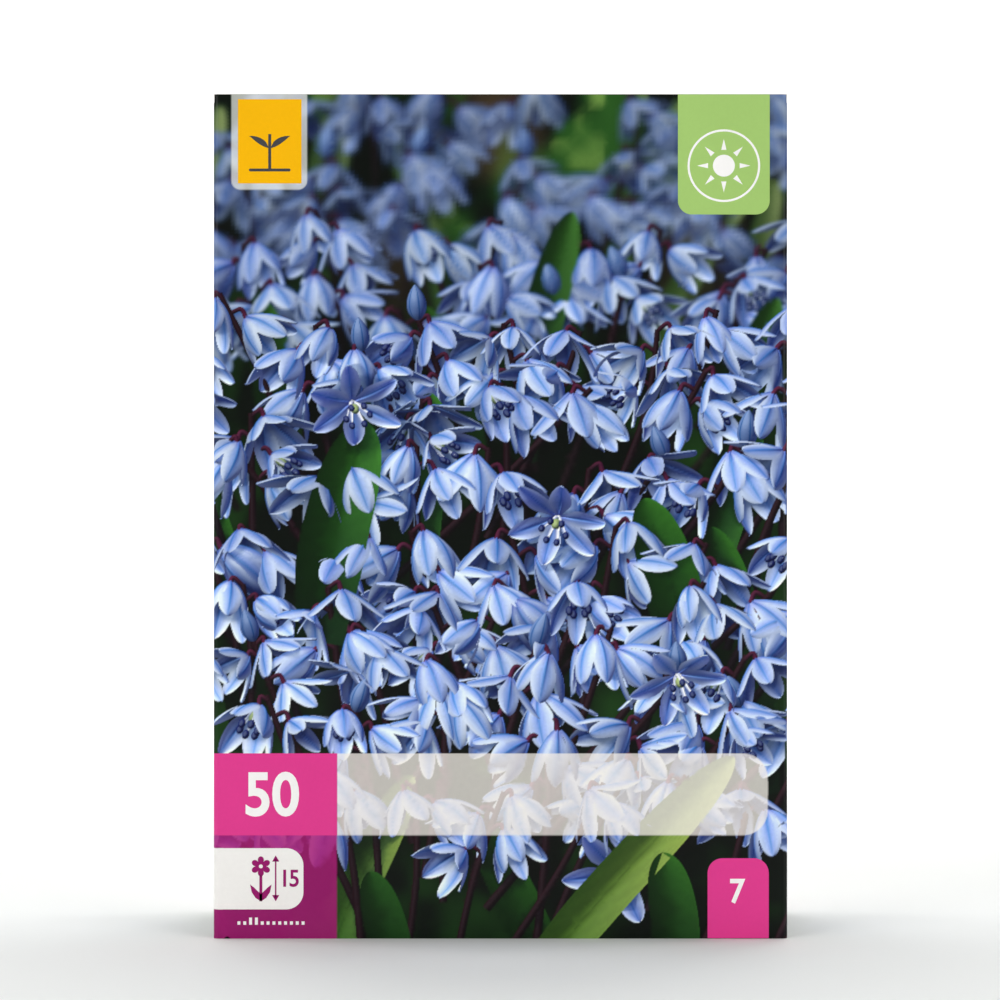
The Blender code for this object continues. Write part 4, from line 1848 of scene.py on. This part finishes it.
@dataclass
class FrontPrint:
    """The picture wrapped over the front and both sides, with its bands, tabs, signs and plain numbers."""

    finishes: Finishes
    band_left: float = -34.2
    band_bottom: float = 21.6
    band_top: float = 38.7
    band_right: float = 55.9
    past_edge: float = 62.0
    seam_up: float = 80.0
    side_seam_up: float = 92.8
    sun: tuple = (46.7, 161.6)
    sprout: tuple = (-48.25, 165.2)
    plant: tuple = (-50.1, 7.8)
    shaft: float = -47.0
    ticks: tuple = (-55.0, 2.9)

    def tinted(self, ground: Array) -> Array:
        """Tint the picture under the translucent bands and the solid blocks.

        Args:
            ground: The picture.

        Returns:
            The tinted picture.
        """
        flat = FlatPicture(ground, PICTURE_HALF)
        edge, left, low = -self.past_edge, self.band_left, self.band_bottom
        flat.tint(0.78, (248, 241, 234), left, low, self.band_right, self.band_top, (0, 5.2, 5.2, 0))
        flat.tint(0.72, (238, 238, 232), -56.3, 156.6, -40.4, 190.0, (1.9, 1.9, 0, 0))
        flat.tint(0.85, (170, 29, 117), edge, -5.0, left, low)
        flat.tint(1.0, Ink.PINK.value, edge, low, left, self.band_top)
        flat.tint(1.0, Ink.CHALK.value, edge, 6.1, -58.0, 18.9)
        return flat.ground

    @staticmethod
    def side_top(u: Array) -> Array:
        """The print's top edge: level with the front wall in front, lower at the sides."""
        return np.where(np.abs(u) > FLAT_HALF + ARC * 0.6, SIDE_TOP, PICTURE_HEIGHT)

    def build(self, ground: Array) -> None:
        """Make the sheets and everything printed over them.

        Args:
            ground: The painted picture.
        """
        picture = self.tinted(ground)
        ink = self.finishes.get(PictureInk())
        cell = 0.2
        for level, bottom, top in (("low", 0.0, self.seam_up), ("high", self.seam_up, PICTURE_HEIGHT)):
            for name, low, high in (("left", -FLAT_HALF, 0.0), ("right", 0.0, FLAT_HALF)):
                place = (low, high, bottom, top)
                sheet = InkSheet(f"front_print_{level}_{name}", *place, around_corner, 0.055, cell)
                dress(sheet.build(picture, -PICTURE_HALF), ink, "box")
        for name, side in (("left", -1), ("right", 1)):
            low, high = sorted((side * FLAT_HALF, side * PICTURE_HALF))
            holes = [(side * SIDE_MIDDLE, up, AIR_HOLE_RADIUS) for up in AIR_HOLE_HEIGHTS]
            seam = self.side_seam_up
            for level, bottom, top in (("low", 0.0, seam), ("high", seam, PICTURE_HEIGHT)):
                place = (low, high, bottom, top)
                sheet = InkSheet(f"side_print_{name}_{level}", *place, around_corner, 0.065, cell)
                dress(sheet.build(picture, -PICTURE_HALF, holes, self.side_top), ink, "box")
        self.tabs()
        self.numbers()
        self.sun_ring()
        self.sprout_sign()
        self.height_sign()
        self.month_ticks()

    def tabs(self) -> None:
        """Solid blocks and tabs of ink."""
        left = -FLAT_HALF
        for name, ink, *box in (
            ("block_pink", Ink.PINK, left, self.band_bottom, self.band_left, self.band_top),
            ("tab_chalk", Ink.CHALK, left, 6.1, -41.2, 18.9, 0, 3.6, 3.6, 0),
            ("tab_pink", Ink.PINK, 43.3, 0.1, 56.1, 16.8, 0, 0, 3.1, 3.1),
            ("tab_green", Ink.GREEN, 37.1, 151.4, 56.3, PICTURE_HEIGHT, 2.9, 2.9, 0, 0),
            ("label_yellow", Ink.YELLOW, -54.9, 157.9, -41.6, 175.5),
        ):
            dress(flat_shape(name, Face.FRONT, rounded_box(*box)), self.finishes.ink(ink), "box")

    def numbers(self) -> None:
        """Plain numbers: the count, the height and a grade."""
        for name, ink, *number in (
            ("number_count", Ink.WHITE, "50", (-47.7, 30.2), 9.4, 0.022),
            ("number_height", Ink.PLUM, "15", (-43.8, 12.6), 3.6, 0.016),
            ("number_grade", Ink.WHITE, "7", (49.6, 9.9), 5.2),
        ):
            dress(number_shape(name, Face.FRONT, *number), self.finishes.ink(ink), "box")

    def sun_ring(self) -> None:
        """A sun with eight rays in a ring, on the green tab."""
        sign = Sign()
        sign.shape(arc_points(self.sun, 7.6, steps=64), arc_points(self.sun, 7.15, steps=64))
        sign.shape(arc_points(self.sun, 2.3))
        for number in range(8):
            a = number * math.pi / 4
            out, side = Vector((math.cos(a), math.sin(a))), Vector((-math.sin(a), math.cos(a))) * 0.55
            middle = Vector(self.sun)
            sign.shape([tuple(middle + way) for way in (out * 3.3 + side, out * 3.3 - side, out * 5.6)])
        sign.finish("sun_ring", self.finishes.ink(Ink.WHITE))

    def sprout_sign(self) -> None:
        """A seedling with two leaves over a line of soil, on the yellow label."""
        sign = Sign()
        stem, foot = self.sprout
        sign.box(stem - 0.3, foot - 4.2, stem + 0.3, foot + 3.0)
        upper = [(0.3 + 4.0 * s, foot + 0.4 + 3.4 * s**0.6 - 1.2 * s * s) for s in np.linspace(0, 1, 9)]
        lower = [(0.3 + 4.0 * s, foot + 0.1 + 2.6 * s**1.5) for s in np.linspace(0.92, 0.0, 8)]
        for way in (-1, 1):
            sign.shape([(stem + way * x, y) for x, y in upper + lower])
        sign.box(stem - 4.35, foot - 4.8, stem + 4.35, foot - 4.2, 0.3)
        sign.finish("sprout", self.finishes.ink(Ink.LEAD))

    def height_sign(self) -> None:
        """A flower with two leaves, and an arrow up and down for its height."""
        sign = Sign()
        stalk, foot = self.plant
        sign.box(stalk - 0.3, foot, stalk + 0.3, foot + 5.4)
        sign.flower((stalk, foot + 7.3), 2.1)
        blade = ((0.0, 0.0), (1.1, 0.7), (1.9, 1.9), (2.25, 3.5), (1.45, 2.9), (0.75, 2.2), (0.0, 1.5))
        for way in (-1, 1):
            sign.shape([(stalk + way * x, foot + y) for x, y in blade])
        sign.box(self.shaft - 0.15, foot + 0.8, self.shaft + 0.15, foot + 8.8)
        for up, way in ((foot + 9.6, -1), (foot, 1)):
            foot_of_head = up + way * 1.3
            sign.shape([(self.shaft, up), (self.shaft - 0.75, foot_of_head), (self.shaft + 0.75, foot_of_head)])
        sign.finish("height_sign", self.finishes.ink(Ink.PLUM))

    def month_ticks(self) -> None:
        """Twelve ticks, two of them tall."""
        sign = Sign()
        for month in range(12):
            left, foot = self.ticks[0] + month * 1.22, self.ticks[1]
            sign.box(left, foot, left + 0.62, foot + (1.5 if month in (2, 3) else 0.7))
        sign.finish("month_ticks", self.finishes.ink(Ink.WHITE))


@dataclass
class BackPrint:
    """The back: a pale planting panel with plain numbers and signs, over the picture and a plum foot."""

    finishes: Finishes
    picture: Array
    months_from: tuple = (-40, 60)
    rules_from: tuple = (-40, 50)

    def build(self) -> None:
        """Make the back's sheet, its panel and its signs."""
        columns = int(2 * PICTURE_BACK_HALF / PICTURE_STEP)
        flat = FlatPicture(self.picture[:, :columns][:, ::-1], PICTURE_BACK_HALF)
        flat.tint(1.0, Ink.PLUM.value, -62.0, -5.0, 62.0, 30.0)
        flat.tint(1.0, Ink.PLUM.value, -49.5, 12.5, 49.5, 149.5, (5, 5, 5, 5))
        half = PICTURE_BACK_HALF
        sheet = InkSheet("back_print", -half, half, 0.0, BACK_TOP, on_back, 0.07, 0.3)
        dress(sheet.build(flat.ground, -half), self.finishes.get(PictureInk()), "box")
        panel = flat_shape("back_panel", Face.BACK, rounded_box(-50, 12, 50, 150, 5))
        dress(panel, self.finishes.ink(Ink.CHALK), "box")
        self.planting_signs()
        self.planting_numbers()
        self.plain_rules()

    def planting_signs(self) -> None:
        """Two bulbs under a line of soil with their depth and spacing, and the planting months."""
        sign = Sign(Face.BACK)
        sign.box(-40, 118, -6, 119, 0.4)
        for middle in (-31.0, -15.0):
            sign.shape([*arc_points((middle, 103.0), 4.6, 120, 420, 30), (middle, 110.5)])
        sign.box(-39.2, 99, -38.6, 117)
        sign.shape([(-38.9, 98.0), (-40.3, 100.6), (-37.5, 100.6)])
        sign.box(-31, 94.2, -15, 94.8)
        for tip, way in ((-32.0, 1), (-14.0, -1)):
            sign.shape([(tip, 94.5), (tip + way * 2.4, 95.8), (tip + way * 2.4, 93.2)])
        for month in range(12):
            left, foot = self.months_from[0] + month * 6.9, self.months_from[1]
            tall = 9.0 if month in (8, 9, 10) else 6.5 if month in (2, 3) else 2.4
            sign.box(left, foot, left + 4.6, foot + tall, 0.4)
        sign.finish("planting_signs", self.finishes.ink(Ink.PLUM))

    def planting_numbers(self) -> None:
        """The depth, the spacing, the height and the count."""
        numbers = [
            number_shape("number", Face.BACK, digits, centre, height, bold)
            for digits, centre, height, bold in (
                ("8", (-44.0, 108.0), 6.0, 0.01), ("6", (-23.0, 88.5), 6.0, 0.01),
                ("15", (34.0, 108.0), 9.0, 0.015), ("50", (0.0, 134.0), 14.0, 0.02),
            )
        ]
        dress(joined("planting_numbers", numbers), self.finishes.ink(Ink.PLUM), "box")

    def plain_rules(self) -> None:
        """Rules where a text would stand, and a flower sign."""
        sign = Sign(Face.BACK)
        for row, long in enumerate((78, 74, 80, 70, 76, 52)):
            left, foot = self.rules_from[0], self.rules_from[1] - row * 4.6
            sign.box(left, foot, left + long, foot + 1.3, 0.6)
        sign.finish("plain_rules", self.finishes.ink(Ink.LEAD))
        flower = Sign(Face.BACK)
        flower.flower((16.0, 108.0), 8.0)
        flower.finish("back_flower", self.finishes.ink(Ink.PINK))


@dataclass
class Closure:
    """The lid, its tuck and the dust flaps: raw board, the lid's print and the bent strips of the creases."""

    finishes: Finishes
    strip_radius: float = 0.62
    strip_board: float = 0.45
    strip_steps: int = 5

    def build(self) -> None:
        """Dress the flaps and add their print and creases."""
        for node in ("carton", "lid", "tuck", "dust_flap_left", "dust_flap_right"):
            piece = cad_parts[node]
            piece.data.materials.clear()
            piece.data.materials.append(self.finishes.get(RawBoard()))
        self.lid_print()
        self.crease_strips()

    def lid_print(self) -> None:
        """Pink ink over the lid with a plain number and a flower sign."""
        low, high = LID_LOW / MM, LID_HIGH / MM
        white = self.finishes.ink(Ink.WHITE)
        ground = flat_shape("lid_print", Face.LID, rounded_box(low.x, low.y, high.x, high.y), INK_PROUD)
        dress(ground, self.finishes.ink(Ink.PINK), "lid")
        dress(number_shape("lid_number", Face.LID, "50", (-30.0, 0.0), 14.0, proud=OVER_PRINT), white, "lid")
        flower = Sign(Face.LID, OVER_PRINT)
        flower.flower((30.0, 0.0), 9.0)
        flower.finish("lid_flower", white, "lid")

    def strip(self, name: str, ends: tuple[Vector, Vector], start: Vector, turn: float,
              radius: float) -> Piece:
        """A bent strip of board along a crease.

        Args:
            name: The piece's name.
            ends: Where the middle of the bend starts and ends, in millimetres.
            start: Outward direction at its first edge.
            turn: Angle it turns through about the line between its ends, in radians.
            radius: Outer radius in millimetres.

        Returns:
            The piece.
        """
        axis = (ends[1] - ends[0]).normalized()
        inner = max(radius - self.strip_board, 0.05)
        deselect()
        bpy.ops.mesh.primitive_plane_add(size=1)
        made = active_mesh(name)
        places = [end + start * depth for end in ends for depth in (radius, inner)]
        for corner, place in zip(made.data.vertices, places):
            corner.co = place * MM
        in_edit_mode(
            partial(bpy.ops.mesh.spin, steps=self.strip_steps, angle=-turn, center=ends[0] * MM, axis=axis),
            bpy.ops.mesh.normals_make_consistent,
        )
        for side in made.data.polygons:
            away = [made.data.vertices[end].co / MM - ends[0] for end in side.vertices]
            reach = max((point - axis * point.dot(axis)).length for point in away)
            side.material_index = int(reach < (radius + inner) / 2)
        deselect()
        return made

    def crease(self, piece: Piece, outer: Material) -> None:
        """Give a strip its two finishes and fix its place in its points.

        Args:
            piece: The strip.
            outer: Finish of its outer side; the inner one is bare board.
        """
        piece.data.materials.append(outer)
        piece.data.materials.append(self.finishes.get(RawBoard()))
        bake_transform(piece)
        log.info("crease %s", piece.name)

    def crease_strips(self) -> None:
        """The folds that show: lid to back wall, and a dust flap to each side."""
        half, back, bend = WIDTH / 2, DEPTH / 2, self.strip_radius
        ends = tuple(Vector((side * (half - 0.3), back - bend, HEIGHT - bend)) for side in (-1, 1))
        piece = self.strip("lid_crease_strip", ends, Vector((0, 1, 0)), math.pi / 2, bend + 0.02)
        self.crease(piece, self.finishes.ink(Ink.PINK))
        for name, side in (("left", -1), ("right", 1)):
            low, high = (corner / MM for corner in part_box(f"dust_flap_{name}"))
            across, up, out = side * (half - bend), high.z - bend, Vector((side, 0, 0))
            ends = tuple(Vector((across, y, up)) for y in (low.y + 0.2, high.y - 1.2))
            piece = self.strip(f"dust_{name}_crease_strip", ends, out, -side * math.pi / 2, bend)
            self.crease(piece, self.finishes.get(RawBoard()))


@dataclass
class Bulbs:
    """The fifty bulbs: papery tunics over round bodies, a dry nose and root stubs round the plate."""

    finishes: Finishes
    count: int = 50
    rings: int = 22
    sides: int = 30
    stubs: int = 9
    stub_radius: float = 0.035
    nose: float = 1.24
    plate: float = 0.94
    cad_nose: float = 1.27
    cad_plate: float = 0.955
    nose_profile: tuple = ((0, 0.38, 0.74, 1.01, 1.20, 1.24), (1.0, 0.925, 0.615, 0.30, 0.13, 0.0))
    plate_profile: tuple = ((0, 0.44, 0.79, 0.90, 0.94), (1.0, 0.905, 0.62, 0.34, 0.0))
    tones: tuple = (
        ((0.085, 0.030, 0.028), (0.230, 0.095, 0.065)), ((0.120, 0.048, 0.034), (0.300, 0.150, 0.085)),
        ((0.070, 0.024, 0.034), (0.190, 0.075, 0.075)),
    )

    def build(self) -> None:
        """Replace each CAD bulb with a detailed one of its own shape."""
        deselect()
        bpy.ops.mesh.primitive_uv_sphere_add(segments=self.sides, ring_count=self.rings, radius=1.0)
        ball = active_mesh("bulb_ball")
        ball.data.shade_smooth()
        deselect()
        bpy.ops.mesh.primitive_cone_add(vertices=4)
        cone = active_mesh("root_cone")
        cones = joined("root_cones", [cone, *(linked("root_cone", cone.data.copy()) for _ in range(self.stubs - 1))])
        draw = np.random.default_rng(5)
        dry = self.finishes.get(SolidInk("dry_root", (0.30, 0.21, 0.12), 0.5, 0.8))
        for number in range(1, self.count + 1):
            node = f"bulb_{number:02d}"
            tip, centre, radius = self.axis_of(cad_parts[node])
            turn = (tip - centre).normalized().to_track_quat("Z", "Y").to_matrix()
            tone = int(draw.integers(0, len(self.tones)))
            piece = linked(f"squill_{node}", ball.data.copy())
            self.shape_body(piece.data, np.array(turn), np.array(centre), radius, draw)
            dress(piece, self.finishes.get(Tunic(f"tunic_{tone}", *self.tones[tone])), "box")
            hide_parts(node)
            roots = linked(f"roots_{number:02d}", cones.data.copy())
            places = [(centre + turn @ (corner * radius)) for corner in self.root_corners(draw)]
            roots.data.vertices.foreach_set("co", np.array(places, np.float32).ravel())
            roots.data.update()
            dress(roots, dry, "box")
        for pattern in (ball, cones):
            bpy.data.objects.remove(pattern)

    def axis_of(self, node: Piece) -> tuple[Vector, Vector, float]:
        """Where a CAD bulb lies.

        Args:
            node: The CAD bulb.

        Returns:
            Its nose, the middle of its widest ring, and its radius, in metres.
        """
        points = np.unique(np.array([corner.co for corner in node.data.vertices]).round(7), axis=0)
        middle = points.mean(0)
        spreads, ways = np.linalg.eigh(np.cov((points - middle).T))
        axis = ways[:, 0] if spreads[1] - spreads[0] > spreads[2] - spreads[1] else ways[:, 2]
        along = (points - middle) @ axis
        if np.sum(along > along.max() - 2e-5) > np.sum(along < along.min() + 2e-5):
            axis, along = -axis, -along
        tip = middle + axis * along.max()
        radius = (along.max() - along.min()) / (self.cad_nose + self.cad_plate)
        log.info("%s: %.2f mm", node.name, radius / MM)
        return Vector(tip), Vector(tip - axis * self.cad_nose * radius), float(radius)

    def shape_body(self, mesh: bpy.types.Mesh, turn: Array, centre: Array, radius: float, draw: Draw) -> None:
        """Draw a ball out to a nose, flatten it at its plate, and give it ribs and loose skin.

        Args:
            mesh: The ball's mesh, of radius 1.
            turn: The bulb's own directions, as columns.
            centre: Middle of its widest ring, in metres.
            radius: Its radius, in metres.
            draw: Source of random numbers.
        """
        points = np.array([corner.co for corner in mesh.vertices])
        around = np.arctan2(points[:, 1], points[:, 0])
        rise = np.clip(points[:, 2], -1, 1)
        along = np.where(rise > 0, self.nose, self.plate) * rise
        up, down = np.interp(along, *self.nose_profile), np.interp(-along, *self.plate_profile)
        width = np.where(rise > 0, up, down)
        phases = draw.uniform(0, 6.28, 6)
        rib = 0.010 * np.sin(7 * around + phases[0] + 0.6 * along) + 0.006 * np.sin(13 * around + phases[1])
        lump = 0.016 * np.sin(2 * around + phases[2]) * np.cos(2.0 * along + phases[3])
        loose = 0.020 * np.clip(np.sin(3 * around + phases[4]) - 0.4, 0, 1) * np.clip(along, 0, 1)
        ring = width * (0.985 + rib + lump) + loose * (width > 0.05)
        out = np.stack([np.cos(around) * ring, np.sin(around) * ring, along], -1) * radius
        mesh.vertices.foreach_set("co", (out @ turn.T + centre).astype(np.float32).ravel())
        share = (along + self.plate) / (self.nose + self.plate)
        sides = (np.sin(around + phases[5]) + 1) / 2
        shine = draw.random(len(share) + 1)[-1]
        colour = np.stack([share, sides, np.full(len(share), shine), np.ones(len(share))], -1)
        skin = mesh.attributes.new("skin", "FLOAT_COLOR", "POINT")
        skin.data.foreach_set("color", colour.astype(np.float32).ravel())
        mesh.update()

    def root_corners(self, draw: Draw) -> list[Vector]:
        """Corners of a bulb's dry root stubs: a ring of cones round the plate, bent outwards.

        Args:
            draw: Source of random numbers.

        Returns:
            Five corners of each cone, its point last, in bulb radii along the bulb's own directions.
        """
        corners = []
        for number in range(self.stubs):
            angle = number * 0.7 + draw.uniform(-0.2, 0.2)
            foot = Vector((math.cos(angle), math.sin(angle), 0)) * draw.uniform(0.14, 0.26)
            end = foot * draw.uniform(1.5, 1.9) + Vector((0, 0, -0.948))
            foot += Vector((0, 0, -0.86))
            side = Vector((-math.sin(angle), math.cos(angle), 0)) * self.stub_radius
            out = foot.normalized().cross(side.normalized()) * self.stub_radius
            corners += [foot + side, foot - out, foot - side, foot + out, end]
        return corners


def main() -> None:
    """Dress the carton and fill it."""
    logging.basicConfig(level=logging.INFO, format="%(name)s %(message)s")
    finishes = Finishes()
    Backdrop().build()
    picture = FlowerPicture(-PICTURE_HALF, PICTURE_HALF, HEIGHT).paint()
    FrontPrint(finishes).build(picture)
    BackPrint(finishes, picture).build()
    Closure(finishes).build()
    Bulbs(finishes).build()


if __name__ == "__main__":
    main()
